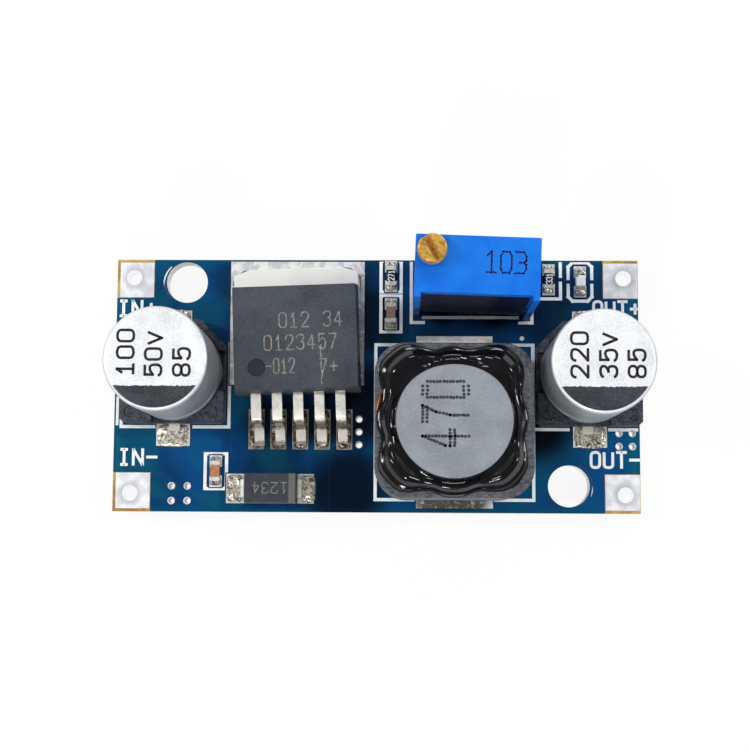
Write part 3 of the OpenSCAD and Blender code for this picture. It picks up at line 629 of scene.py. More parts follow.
@dataclass(frozen=True)
class TinFinish(Finish):
    """Bright tin or solder: crinkled, with flux left in patches.

    The flux is thickest where the regulator's legs were soldered, inside the box that legs gives
    as its middle and its half sizes.
    """

    contrast: tuple[float, float] = (0.4, 0.62)
    flux: Colour = tone(112, 78, 48)
    flux_patch: float = 0.55
    stained: float = 0.3
    crinkle: float = 0.45
    legs: tuple[float, float, float, float] = (-6.19, -3.8, 4.6, 1.85)

    def stain(self, shader: Shader, at: Spot) -> Wire:
        """Find the flux.

        Args:
            shader: Material under construction.
            at: Place on the surface.

        Returns:
            The share of flux, from 0 to 1.
        """
        edge = 0.63 - 0.3 * self.stained
        near = at.within(self.legs, (0.1, 0.1)) * (0.3 * self.stained)
        flow = shader.cloud(at.vector, self.flux_patch, 5, 1.5) + near
        return flow.rise(edge, edge + 0.2) * min(1.0, 3 * self.stained)

    def paint(self, shader: Shader, at: Spot) -> Wire:
        """Return the metal's colour with its flux.

        Args:
            shader: Material under construction.
            at: Place on the surface.

        Returns:
            The colour of metal or flux.
        """
        wide = shader.cloud(at.vector, self.patch, 4, 0.8) * (1 - self.speck)
        fine = shader.cloud(at.vector, self.grain, 3) * self.speck
        bare = shader.mix(self.colour, self.other, (wide + fine).rise(*self.contrast))
        return shader.mix(bare, self.flux, self.stain(shader, at))

    def metal(self, shader: Shader, at: Spot) -> Wire:
        """Return less metal where flux covers it."""
        return (1 - self.stain(shader, at)) * self.metallic

    def height(self, shader: Shader, at: Spot) -> Wire:
        """Return sharp crinkles over soft hollows."""
        folds = shader.cells(shader.stretched(at.vector, (1.0, 1.3, 1.0), 20), self.crinkle)
        return folds * 0.5 + shader.cloud(at.vector, self.grain, 4, 1.0) * 0.5


@dataclass(frozen=True)
class PadFinish(TinFinish):
    """Tinned pads, tinted in places, and a line of scorched flux round the heat tab.

    A tint is a box's middle and half sizes, a colour and its share; the first is painted shade and
    the fourth painted light. The tab is its middle, half its width and its reach, before its turn
    in degrees.
    """

    tints_and_painted_light: tuple[tuple[float, float, float, float, Colour, float], ...] = (
        # Painted shade: the heat pad's right-hand strip, darkened as if in shade
        (-0.9, 2.0, 0.8, 5.2, tone(120, 121, 126), 0.8),
        (-6.19, -3.8, 6.4, 2.4, tone(134, 127, 114), 0.8),
        (6.15, -9.9, 3.4, 0.8, tone(66, 61, 50), 0.9),
        # Painted light: the inductor's upper pad made near white, where the trimmer and the
        # inductor shade it
        (6.15, 2.8, 3.4, 0.8, tone(252, 252, 252), 1.0),
        (5.0, 2.75, 0.75, 0.4, tone(170, 152, 104), 0.8),
        (7.7, 2.75, 0.75, 0.4, tone(170, 152, 104), 0.8),
    )
    tab: tuple[float, float, float, float] = (-6.39, 3.25, 5.1, 6.05)
    turn: float = 2.2
    flux_line: Colour = tone(104, 72, 44)

    def round_tab(self, shader: Shader, at: Spot) -> Wire:
        """Find the scorched flux along the heat tab's edge, whose corners are cut off.

        Args:
            shader: Material under construction.
            at: Place on the surface.

        Returns:
            The share of burnt flux, from 0 to 1.
        """
        side, rise = math.sin(math.radians(self.turn)), math.cos(math.radians(self.turn))
        across, along = at.x - self.tab[0], at.y - self.tab[1]
        out = abs(across * rise + along * side) - self.tab[2]
        up = along * rise - across * side - self.tab[3]
        corner = (out + up + 0.75) * 0.72
        away = out.most(up).most(corner) + (shader.cloud(at.vector, 0.5, 4) * 0.24 - 0.12)
        return abs(away - 0.14).rise(0.1, 0.02) * up.rise(-2.6, -1.2)

    def paint(self, shader: Shader, at: Spot) -> Wire:
        """Return the pad's colour.

        Args:
            shader: Material under construction.
            at: Place on the surface.

        Returns:
            The colour of tin, tint or burnt flux.
        """
        colour = super().paint(shader, at)
        # Each tint in turn, painted shade and painted light among them
        for x, y, half, reach, tint, share in self.tints_and_painted_light:
            inside = at.within((x, y, half, reach), (half * 0.3, reach * 0.2))
            patchy = shader.cloud(at.vector, 0.4, 3).rise(0.2, 0.5)
            colour = shader.mix(colour, tint, inside * patchy * share)
        return shader.mix(colour, self.flux_line, self.round_tab(shader, at) * 0.85)


@dataclass(frozen=True)
class LegFinish(TinFinish):
    """Tinned legs, with a brown stain and painted shade where they bend.

    A bend is its place, half its width and its share.
    """

    bend_stain_and_shade: Colour = tone(84, 62, 42)
    bends: tuple[tuple[float, float, float], ...] = (
        (-3.55, 0.42, 0.92), (-5.0, 0.3, 0.7), (-1.1, 0.16, 0.5),
    )

    def paint(self, shader: Shader, at: Spot) -> Wire:
        """Return the leg's colour.

        Args:
            shader: Material under construction.
            at: Place on the surface.

        Returns:
            The colour of tin, with a brown stain and painted shade at the bends.
        """
        colour = super().paint(shader, at)
        ragged = shader.cloud(at.vector, 0.3, 3) * 0.5 - 0.25
        # A brown stain with painted shade across each bend, with a ragged edge
        for place, half, share in self.bends:
            brown = abs(at.y - place + ragged).rise(half, half * 0.3) * share
            colour = shader.mix(colour, self.bend_stain_and_shade, brown)
        return colour


@dataclass(frozen=True)
class FootShadeFinish(Finish):
    """Moulding whose colour deepens towards its feet: painted shade near the board."""

    # Colour of the painted shade at the feet, and the heights over which it sets in
    deep: Colour = tone(2, 34, 92)
    heights: tuple[float, float] = (4.6, 2.0)

    def paint(self, shader: Shader, at: Spot) -> Wire:
        """Return the moulding's colour, with painted shade near the board."""
        # Painted shade: a ragged band below the given heights, where the colour deepens
        low = (at.z + (shader.cloud(at.vector, 0.8, 3) * 0.8 - 0.4)).rise(*self.heights)
        return shader.mix(super().paint(shader, at), self.deep, low * 0.6)


@dataclass(frozen=True)
class DimpleFinish(Finish):
    """Moulding whose dimple lies in shade."""

    dimple: tuple[float, float] = (-9.5, 0.8)
    reach: tuple[float, float] = (0.78, 0.7)
    top: float = 6.0
    shade: Colour = tone(38, 40, 46)

    def paint(self, shader: Shader, at: Spot) -> Wire:
        """Return the moulding's colour, darker in the dimple."""
        sunk = at.away(*self.dimple).rise(*self.reach) * at.z.rise(self.top - 0.01, self.top - 0.05)
        return shader.mix(super().paint(shader, at), self.shade, sunk * 0.8)


@dataclass(frozen=True)
class CornerFinish(Finish):
    """Bright corner pad with a fine grain, greyer around its wire hole, and its plated barrel."""

    halo: Colour = tone(176, 179, 187)
    halo_reach: tuple[float, float] = (1.55, 0.85)
    barrel: Colour = tone(252, 252, 252)
    holes: tuple[tuple[float, float], ...] = (
        (-20.1, 8.75), (-20.1, -9.05), (20.3, 8.75), (20.3, -9.05),
    )

    def inside(self, at: Spot) -> Wire:
        """Return 1 in the plated barrel and 0 on the pads."""
        return at.depth().rise(0.01, 0.05)

    def paint(self, shader: Shader, at: Spot) -> Wire:
        """Return the pad's colour.

        Args:
            shader: Material under construction.
            at: Place on the surface.

        Returns:
            The colour of the pad or of its barrel.
        """
        colour = super().paint(shader, at)
        grain = shader.cloud(at.vector, 0.12, 3) * 0.5
        for hole in self.holes:
            halo = (at.away(*hole) + grain).rise(*self.halo_reach) * 0.75
            colour = shader.mix(colour, self.halo, halo)
        return shader.mix(colour, self.barrel, self.inside(at))

    def gloss(self, shader: Shader, at: Spot) -> Wire:
        """Return the roughness: the barrels are smoother."""
        return super().gloss(shader, at) * (1 - self.inside(at) * 0.5)

    def metal(self, shader: Shader, at: Spot) -> Wire:
        """Return the share of metal: the barrels are plain bright plating."""
        return self.inside(at) * (1 - self.metallic) + self.metallic


@dataclass(frozen=True)
class StreakFinish(Finish):
    """Ground or drawn surface, with fine streaks along one direction."""

    contrast: tuple[float, float] = (0.34, 0.66)
    stretch: tuple[float, float, float] = (8.0, 0.8, 0.8)
    turn: float = 0.0

    def streaks(self, shader: Shader, at: Spot) -> Wire:
        """Return the streak pattern at a place."""
        return shader.cloud(shader.stretched(at.vector, self.stretch, self.turn), self.grain * 6, 4)

    def paint(self, shader: Shader, at: Spot) -> Wire:
        """Return the colour, streaked and mottled."""
        share = self.streaks(shader, at) * 0.7 + shader.cloud(at.vector, self.patch, 3) * 0.3
        return shader.mix(self.colour, self.other, share.rise(*self.contrast))

    def height(self, shader: Shader, at: Spot) -> Wire:
        """Return the relief of the streaks."""
        return self.streaks(shader, at) * 0.6 + shader.cloud(at.vector, self.grain, 2) * 0.4


@dataclass(frozen=True)
class CanFinish(StreakFinish):
    """Aluminium can: satin top with a printed black segment, darker drawn wall.

    Chord is where the segment's straight edge lies, from the can's middle.
    """

    centre: tuple[float, float] = (0.0, 0.0)
    top: float = 12.19
    chord: float = -2.1
    ink_reach: tuple[float, float] = (3.8, 3.72)
    lid: Colour = tone(240, 242, 244)
    lid_grain: Colour = tone(204, 207, 212)
    print_ink: Colour = tone(44, 46, 53)
    worn_ink: Colour = tone(74, 78, 86)

    def on_top(self, at: Spot) -> Wire:
        """Return 1 on the flat top and 0 on the wall."""
        return at.z.rise(self.top - 0.22, self.top - 0.05)

    def segment(self, shader: Shader, at: Spot) -> Wire:
        """Find the printed segment, whose straight edge is a little ragged.

        Args:
            shader: Material under construction.
            at: Place on the surface.

        Returns:
            1 under the print and 0 elsewhere.
        """
        ragged = shader.cloud(at.vector, 0.22, 2) * 0.24 - 0.12
        below = (at.y - self.centre[1] + ragged).rise(self.chord + 0.04, self.chord)
        inside = at.away(*self.centre).rise(*self.ink_reach)
        return below * inside * at.z.rise(self.top - 0.06, self.top - 0.03)

    def paint(self, shader: Shader, at: Spot) -> Wire:
        """Return the can's colour.

        Args:
            shader: Material under construction.
            at: Place on the surface.

        Returns:
            The colour of the wall, the top or the print.
        """
        wall = super().paint(shader, at)
        fine = shader.cloud(at.vector, 0.16, 3) * 0.5 + shader.cloud(at.vector, 1.6, 3) * 0.5
        lid = shader.mix(self.lid, self.lid_grain, fine.rise(0.42, 0.66) * 0.7)
        ink = shader.mix(self.print_ink, self.worn_ink, fine.rise(0.4, 0.68) * 0.8)
        metal = shader.mix(wall, lid, self.on_top(at))
        return shader.mix(metal, ink, self.segment(shader, at))

    def metal(self, shader: Shader, at: Spot) -> Wire:
        """Return metal on the wall, less on the satin top and none under the print."""
        return (1 - 0.75 * self.on_top(at)) * (1 - self.segment(shader, at)) * self.metallic


@dataclass(frozen=True)
class BandFinish(Finish):
    """Moulded body with a paler band printed across one end."""

    band: tuple[float, float] = (0.0, 1.0)
    band_colour: Colour = tone(98, 96, 95)
    edge: float = 0.06
    heights: tuple[float, float] = (3.4, 3.6)

    def paint(self, shader: Shader, at: Spot) -> Wire:
        """Return the moulding's colour, paler in the band.

        Args:
            shader: Material under construction.
            at: Place on the surface.

        Returns:
            The colour of moulding or band.
        """
        wear = shader.cloud(at.vector, 0.3, 3) * 0.14
        inside = (at.x + wear).rise(self.band[0], self.band[0] + self.edge)
        inside = inside * at.x.rise(self.band[1], self.band[1] - self.edge)
        top = at.z.rise(*self.heights)
        return shader.mix(super().paint(shader, at), self.band_colour, inside * top)


LAMINATE = WeaveFinish(
    Slot.LAMINATE, tone(196, 160, 82), tone(156, 118, 56), relief=0.012, grain=0.12,
)
MASK = MaskFinish(
    Slot.MASK, tone(2, 54, 100), tone(4, 72, 128), relief=0.02, grain=0.5, smooth=0.25, dull=0.36,
    shine=0.12,
)
INK = InkFinish(
    Slot.INK, tone(244, 246, 247), tone(232, 236, 238), patch=0.6, relief=0.01, smooth=0.5,
    dull=0.65,
)
PAD = PadFinish(
    Slot.PAD, tone(242, 242, 242), tone(204, 205, 206), patch=0.9, relief=0.04, grain=0.25,
    smooth=0.25, dull=0.45, metallic=0.15, stained=0.12,
)
RINGS = TentedFinish(
    Slot.PAD, tone(252, 252, 250), tone(240, 240, 238), smooth=0.2, dull=0.3, metallic=0.9,
    shine=0.2,
)
CORNER = CornerFinish(
    Slot.PAD, tone(246, 247, 249), tone(216, 218, 225), patch=0.9, relief=0.012, grain=0.3,
    smooth=0.3, dull=0.48, metallic=0.05,
)
SOLDER = TinFinish(
    Slot.SOLDER, tone(250, 247, 232), tone(108, 98, 78), patch=0.4, relief=0.035, grain=0.11,
    smooth=0.1, dull=0.34, metallic=0.45, stained=0.46, crinkle=0.5, speck=0.55,
    flux=tone(70, 49, 30),
)
MOULDING = DimpleFinish(
    Slot.MOULDING, tone(74, 79, 87), tone(56, 59, 66), patch=3.5, grain=0.11, relief=0.02,
    smooth=0.5, dull=0.62, shine=0.25, speck=0.5,
)
DIODE_MOULDING = BandFinish(
    Slot.MOULDING, tone(60, 64, 72), tone(46, 49, 56), patch=1.0, grain=0.1, relief=0.015,
    smooth=0.45, dull=0.6, shine=0.25, speck=0.5,
)
TAB = Finish(
    Slot.TAB, tone(252, 251, 246), tone(246, 245, 240), patch=2.0, grain=0.3, relief=0.006,
    smooth=0.3, dull=0.4, metallic=0.04,
)
LEAD = TinFinish(
    Slot.LEAD, tone(236, 235, 226), tone(210, 208, 199), patch=0.9, relief=0.01, grain=0.4,
    smooth=0.2, dull=0.36, metallic=0.35, stained=0.12, crinkle=1.6,
)
LEG = LegFinish(
    Slot.LEAD, tone(252, 250, 240), tone(234, 231, 220), patch=0.9, relief=0.01, grain=0.4,
    smooth=0.16, dull=0.32, metallic=0.08, stained=0.1, crinkle=1.6,
)
SHIELD = StreakFinish(
    Slot.SHIELD, tone(58, 60, 66), tone(97, 100, 105), patch=2.4, grain=0.08, relief=0.03,
    smooth=0.36, dull=0.56, stretch=(1.2, 2.6, 1.2), turn=38.0, shine=0.3,
)
DRUM = Finish(
    Slot.DRUM, tone(143, 149, 155), tone(122, 127, 133), patch=2.2, grain=0.13, relief=0.014,
    smooth=0.48, dull=0.6, shine=0.3, speck=0.45,
)
WIRE = Finish(
    Slot.WIRE, tone(196, 98, 48), tone(146, 62, 26), patch=0.6, smooth=0.18, dull=0.32,
    metallic=0.8,
)
ADHESIVE = Finish(
    Slot.ADHESIVE, tone(10, 10, 13), tone(18, 17, 21), patch=1.5, grain=0.9, relief=0.012,
    smooth=0.08, dull=0.16, shine=0.6,
)
CAN = CanFinish(
    Slot.CAN, tone(184, 188, 192), tone(158, 162, 168), patch=2.5, grain=0.16, relief=0.014,
    smooth=0.32, dull=0.44, metallic=0.6, stretch=(0.6, 0.6, 6.0), turn=32.0,
)
BASE = Finish(
    Slot.BASE, tone(80, 85, 97), tone(20, 22, 27), patch=0.5, grain=0.12, relief=0.05, smooth=0.4,
    dull=0.6, shine=0.4, speck=0.6,
)
# Blue housing, with painted shade towards its feet
HOUSING = FootShadeFinish(
    Slot.HOUSING, tone(2, 102, 210), tone(12, 114, 216), patch=2.2, grain=0.16, relief=0.012,
    smooth=0.36, dull=0.46, shine=0.25,
)
BRASS = TinFinish(
    Slot.BRASS, tone(228, 184, 92), tone(186, 134, 50), patch=0.4, relief=0.02, grain=0.18,
    smooth=0.2, dull=0.4, metallic=0.4, stained=0.12, crinkle=0.7, flux=tone(118, 74, 22),
)
SEAL = Finish(Slot.SEAL, tone(26, 26, 28), tone(34, 34, 36), smooth=0.5, dull=0.6)
ROTOR = Finish(Slot.ROTOR, tone(228, 222, 204), tone(214, 208, 190), smooth=0.35, dull=0.45)
WIPER = Finish(
    Slot.WIPER, tone(206, 178, 112), tone(186, 158, 94), smooth=0.2, dull=0.3, metallic=0.9,
)
CERAMIC = Finish(Slot.CERAMIC, tone(238, 238, 234), tone(224, 224, 220), smooth=0.45, dull=0.6)
POTTING = Finish(
    Slot.POTTING, tone(2, 14, 60), tone(1, 8, 36), patch=1.2, grain=0.7, relief=0.03, smooth=0.3,
    dull=0.5, shine=0.12,
)
LED_BASE = Finish(
    Slot.LED_BASE, tone(248, 250, 244), tone(226, 228, 218), patch=0.4, smooth=0.4, dull=0.5,
)
LED_RESIN = Finish(
    Slot.LED_RESIN, tone(253, 253, 250), tone(250, 250, 238), patch=0.3, smooth=0.12, dull=0.24,
    coat=0.3,
)
GLASS = Finish(
    Slot.GLASS, tone(24, 25, 28), tone(34, 35, 38), patch=0.4, smooth=0.2, dull=0.34, relief=0.006,
)
CHIP_TAN = Finish(
    Slot.CHIP, tone(150, 122, 108), tone(136, 106, 94), patch=0.3, smooth=0.4, dull=0.55,
)
CHIP_ORANGE = Finish(
    Slot.CHIP, tone(184, 124, 84), tone(166, 106, 68), patch=0.3, smooth=0.4, dull=0.55,
)
BLACK_PRINT = Finish(
    Slot.BASE, tone(30, 26, 32), tone(48, 44, 50), patch=0.3, smooth=0.5, dull=0.65, shine=0.2,
)
DARK_PRINT = Finish(
    Slot.BASE, tone(34, 24, 92), tone(20, 18, 60), patch=0.2, smooth=0.5, dull=0.65, shine=0.2,
)
DOT_PRINT = Finish(
    Slot.BASE, tone(66, 65, 72), tone(52, 51, 58), patch=0.2, smooth=0.5, dull=0.65, shine=0.2,
)
LASER_MARK = Finish(
    Slot.MOULDING, tone(142, 139, 126), tone(104, 102, 94), patch=0.2, smooth=0.6, dull=0.75,
)
FAINT_MARK = Finish(
    Slot.MOULDING, tone(122, 118, 116), tone(104, 100, 98), patch=0.2, smooth=0.6, dull=0.75,
)
GREEN_DOT = Finish(Slot.LED_RESIN, tone(40, 168, 96), tone(30, 150, 84), patch=0.2)


# ---- Making pieces ----

MERGE = 0.0005  # points of a copied or turned shape that lie nearer than this are one
LEVEL = 1.0  # faces of a copied node that lean less than this, in degrees, are one


def millimetres(node: str) -> tuple[Vector, Vector]:
    """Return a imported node's lowest and highest corner, in millimetres."""
    low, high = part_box(node)
    return low / MM, high / MM


def middle(node: str) -> Vector:
    """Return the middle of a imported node's box, in millimetres."""
    low, high = millimetres(node)
    return (low + high) / 2


def top_of(node: str) -> float:
    """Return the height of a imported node's top, in millimetres."""
    return millimetres(node)[1].z


def linked(name: str, data: bpy.types.ID) -> bpy.types.Object:
    """Put data into the scene.

    Args:
        name: Name of the object.
        data: Its mesh, curve, lamp or camera.

    Returns:
        The new object.
    """
    made = bpy.data.objects.new(name, data)
    bpy.context.scene.collection.objects.link(made)
    return made


def dress(finish: Finish, *nodes: str) -> None:
    """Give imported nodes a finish.

    Args:
        finish: The finish.
        nodes: Names of the nodes.
    """
    for name in nodes:
        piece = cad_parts[name]
        for slot in piece.material_slots:
            slot.material = finish.material()
        LOG.info("%s: %s", name, finish.slot.value)


def placed(
    shape: bmesh.types.BMesh,
    name: str,
    finish: Finish,
    body: str = BOARD,
    stands_for: Sequence[str] = (),
    crease: float = 38.0,
    flat: bool = False,
) -> None:
    """Close a shape in millimetres and make it a piece of the module.

    Args:
        shape: The shape, which is freed.
        name: Name of the piece.
        finish: Its finish.
        body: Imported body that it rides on.
        stands_for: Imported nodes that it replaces.
        crease: Angle above which an edge stays sharp, in degrees.
        flat: Whether large faces keep their flat look up to their rounded edges.
    """
    shape.normal_update()
    for face in shape.faces:
        face.smooth = True
    for edge in shape.edges:
        lean = edge.calc_face_angle(0.0) if len(edge.link_faces) == 2 else math.pi
        edge.smooth = lean < math.radians(crease)
    leans = [
        sum((face.normal * face.calc_area() for face in vert.link_faces), Vector())
        for vert in shape.verts
    ]
    bmesh.ops.scale(shape, vec=(MM, MM, MM), verts=shape.verts)
    mesh = bpy.data.meshes.new(name)
    shape.to_mesh(mesh)
    shape.free()
    if flat:
        mesh.normals_split_custom_set_from_vertices([lean.normalized() for lean in leans])
    mesh.materials.append(finish.material())
    piece = linked(name, mesh)
    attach(piece, body)
    if stands_for:
        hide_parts(*stands_for)
    LOG.info("%s: %d faces", name, len(mesh.polygons))


def softened(node: str, width: float, segments: int, sharp: float) -> bmesh.types.BMesh:
    """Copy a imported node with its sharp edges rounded.

    Args:
        node: Name of the node.
        width: Width of the rounding, in millimetres.
        segments: Steps in the rounding.
        sharp: Angle above which an edge is rounded, in degrees.

    Returns:
        The rounded shape, in millimetres.
    """
    shape = bmesh.new()
    shape.from_mesh(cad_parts[node].data)
    bmesh.ops.scale(shape, vec=(1 / MM, 1 / MM, 1 / MM), verts=shape.verts)
    bmesh.ops.remove_doubles(shape, verts=shape.verts, dist=MERGE)
    bmesh.ops.dissolve_limit(
        shape, angle_limit=math.radians(LEVEL), verts=shape.verts, edges=shape.edges
    )
    shape.normal_update()
    edges = [
        edge for edge in shape.edges
        if len(edge.link_faces) == 2 and edge.calc_face_angle(0.0) > math.radians(sharp)
    ]
    bmesh.ops.bevel(
        shape, geom=edges, offset=width, segments=segments, affect="EDGES", profile=0.5,
        material=-1, clamp_overlap=True,
    )
    return shape


def rounded(
    node: str,
    name: str,
    finish: Finish,
    width: float,
    segments: int = 2,
    sharp: float = 32.0,
    body: str = BOARD,
) -> None:
    """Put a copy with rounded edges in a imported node's place.

    Args:
        node: Name of the node, which the copy replaces.
        name: Name of the piece.
        finish: Its finish.
        width: Width of the rounding, in millimetres.
        segments: Steps in the rounding.
        sharp: Angle above which an edge is rounded, in degrees.
        body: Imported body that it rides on.
    """
    shape = softened(node, width, segments, sharp)
    placed(shape, name, finish, body, stands_for=(node,), flat=True)


def turned(
    points: Sequence[tuple[float, float]], centre: tuple[float, float], steps: int
) -> bmesh.types.BMesh:
    """Spin a half section about an upright axis.

    Args:
        points: (radius, height) from one end of the axis to the other, in millimetres.
        centre: Place of the axis.
        steps: Steps in the full turn.

    Returns:
        The closed shape.
    """
    shape = bmesh.new()
    corners = [shape.verts.new((radius, 0.0, height)) for radius, height in points]
    edges = [shape.edges.new(pair) for pair in zip(corners, corners[1:])]
    bmesh.ops.spin(
        shape, geom=corners + edges, cent=(0, 0, 0), axis=(0, 0, 1), angle=2 * math.pi,
        steps=steps, use_merge=True,
    )
    bmesh.ops.remove_doubles(shape, verts=shape.verts, dist=MERGE)
    bmesh.ops.recalc_face_normals(shape, faces=shape.faces)
    bmesh.ops.translate(shape, vec=(centre[0], centre[1], 0.0), verts=shape.verts)
    return shape


def add_dot(
    shape: bmesh.types.BMesh,
    place: tuple[float, float, float],
    radii: tuple[float, float],
    depth: float,
    segments: int,
) -> None:
    """Add a flat round dot to a shape.

    Args:
        shape: The shape.
        place: The dot's middle; half of it lies above that.
        radii: Its radius below and above.
        depth: Its whole thickness.
        segments: Sides of its rim.
    """
    bmesh.ops.create_cone(
        shape, cap_ends=True, segments=segments, radius1=radii[0], radius2=radii[1], depth=depth,
        matrix=Matrix.Translation(place),
    )


def bump(value: float, centre: float, width: float) -> float:
    """Return a soft bump, which is 1 at its centre and falls off over its width."""
    return math.exp(-(((value - centre) / width) ** 2))


# ---- Figures and signs ----


class Figures(Enum):
    """Strokes of the figures: two signs a point, 0 to A for 0 to 1; o is a ring and ~ a bend."""

    DRAWN = {
        "0": "o0A AA A5 A0 00 05", "1": "27 5A 50|10 90", "2": "~07 0A AA A6 53 00|00 A0",
        "3": "~08 1A AA A6 45|~45 A6 A0 10 02", "4": "70 7A 03 A3",
        "5": "9A 1A 15|~15 47 A7 A0 10 02", "7": "0A AA 30", "8": "o0A AA A5 05|o05 A5 A0 00",
        "I": "5A 50|2A 8A|20 80", "N": "00 0A A0 AA", "O": "o0A AA A5 A0 00 05",
        "U": "~0A 04 00 A0 A4 AA", "T": "0A AA|5A 50", "V": "08 50 A8", "+": "05 A5|52 58",
        "-": "05 A5", "/": "5A 37 68 45 62 31 50",
    }
    DOTTED = {
        "0": "2A 7A|29 79|01 09|A1 A9|20 70|21 71", "1": "18 5A 50|10 90",
        "3": "0A 8A A8 A6 85 45|85 A4 A2 80 00", "O": "2A 8A A8 A2 80 20 02 08 2A",
        "4": "6A 05 04 A4|03 A3|6A 60", "7": "0A AA|09 99|AA 67 44 40",
    }


def strokes(text: str, figures: Figures) -> Iterator[tuple[int, str, list[tuple[float, float]]]]:
    """Walk through the strokes of a text.

    Args:
        text: The text.
        figures: Set of figures to draw it with.

    Yields:
        The figure's number in the text, the kind of stroke (o, ~ or nothing), and its points.
    """
    for number, sign in enumerate(text):
        for stroke in figures.value.get(sign, "").split("|"):
            kind = stroke[:1] if stroke[:1] in "o~" else ""
            pairs = stroke[len(kind):].split()
            points = [(int(pair[0], 16) / 10, int(pair[1], 16) / 10) for pair in pairs]
            if points:
                yield number, kind, points


@dataclass(frozen=True)
class Print:
    """A line of figures printed on a face that looks up, in millimetres.

    A figure is width by height, and the next starts advance further on. With spacing they are
    dots that far apart, each a little out of place, and without it they are strokes of the pen.
    They stand thick above the face, and are cut off at cut_at. Lap, taper and shake are shares of
    the pen's width.
    """

    name: str
    text: str
    place: tuple[float, float, float]
    width: float
    height: float
    pen: float
    finish: Finish
    advance: float = 0.0
    turn: float = 0.0
    thick: float = 0.02
    spacing: float = 0.0
    cut_at: float = 0.0
    lap: float = 0.36
    taper: float = 0.42
    shake: float = 0.16

    def bend(self, curve: bpy.types.Curve, spots: Sequence[Vector], closed: bool) -> None:
        """Add one stroke to a curve.

        Args:
            curve: The curve.
            spots: The stroke's points, in its plane.
            closed: Whether it runs back to its start.
        """
        spline = curve.splines.new("NURBS" if len(spots) > 2 else "POLY")
        spline.points.add(len(spots) - 1)
        for point, spot in zip(spline.points, spots):
            point.co = (spot.x, spot.y, 0.0, 1.0)
        spline.use_cyclic_u = closed
        if len(spots) > 2:
            spline.order_u, spline.use_endpoint_u = 3, not closed

    def drawn(self) -> bmesh.types.BMesh:
        """Draw the figures as flat pen strokes.

        Returns:
            The strokes, in the line's own plane.
        """
        curve = bpy.data.curves.new(self.name, "CURVE")
        curve.dimensions, curve.resolution_u = "3D", 5
        curve.bevel_depth, curve.bevel_resolution, curve.use_fill_caps = self.pen / 2, 1, True
        for number, kind, points in strokes(self.text, Figures.DRAWN):
            spots = [
                Vector((along * self.width + number * self.advance, up * self.height))
                for along, up in points
            ]
            if kind:
                self.bend(curve, spots, kind == "o")
            for start, end in () if kind else zip(spots, spots[1:]):
                lap = (end - start).normalized() * self.pen * self.lap
                self.bend(curve, [start - lap, end + lap], False)
        holder = linked(self.name, curve)
        solid = holder.evaluated_get(bpy.context.evaluated_depsgraph_get())
        mesh = bpy.data.meshes.new_from_object(solid)
        shape = bmesh.new()
        shape.from_mesh(mesh)
        bpy.data.objects.remove(holder)
        bpy.data.meshes.remove(mesh)
        bpy.data.curves.remove(curve)
        bmesh.ops.scale(shape, vec=(1, 1, 2 * self.thick / self.pen), verts=shape.verts)
        return shape

    def dotted(self) -> bmesh.types.BMesh:
        """Set the figures out as rows of small round dots.

        Returns:
            The dots, in the line's own plane.
        """
        shape, radii = bmesh.new(), (self.pen / 2, self.pen * self.taper)
        for number, _, points in strokes(self.text, Figures.DOTTED):
            spots = [Vector((along * self.width, up * self.height)) for along, up in points]
            for first, last in zip(spots, spots[1:]):
                count = max(1, round((last - first).length / self.spacing))
                for step in range(count + 1):
                    spot = first.lerp(last, step / count)
                    seed = Vector((spot.x * 9, spot.y * 9, number * 3.1))
                    shake = noise.noise_vector(seed) * self.pen * self.shake
                    place = (spot.x + number * self.advance + shake.x, spot.y + shake.y, 0)
                    add_dot(shape, place, radii, 2 * self.thick, 10)
        return shape

    def make(self) -> None:
        """Print the line, cut it off and put it on the board."""
        shape = self.dotted() if self.spacing else self.drawn()
        move = Matrix.Translation(self.place) @ Matrix.Rotation(math.radians(self.turn), 4, "Z")
        bmesh.ops.transform(shape, matrix=move, verts=shape.verts)
        if self.cut_at:
            everything = shape.verts[:] + shape.edges[:] + shape.faces[:]
            cut = bmesh.ops.bisect_plane(
                shape, geom=everything, plane_co=(self.cut_at, 0, 0), plane_no=(1, 0, 0),
                clear_outer=True,
            )["geom_cut"]
            rims = [part for part in cut if isinstance(part, bmesh.types.BMEdge)]
            bmesh.ops.holes_fill(shape, edges=rims)
        placed(shape, self.name, self.finish)


# ---- Sub-assemblies ----


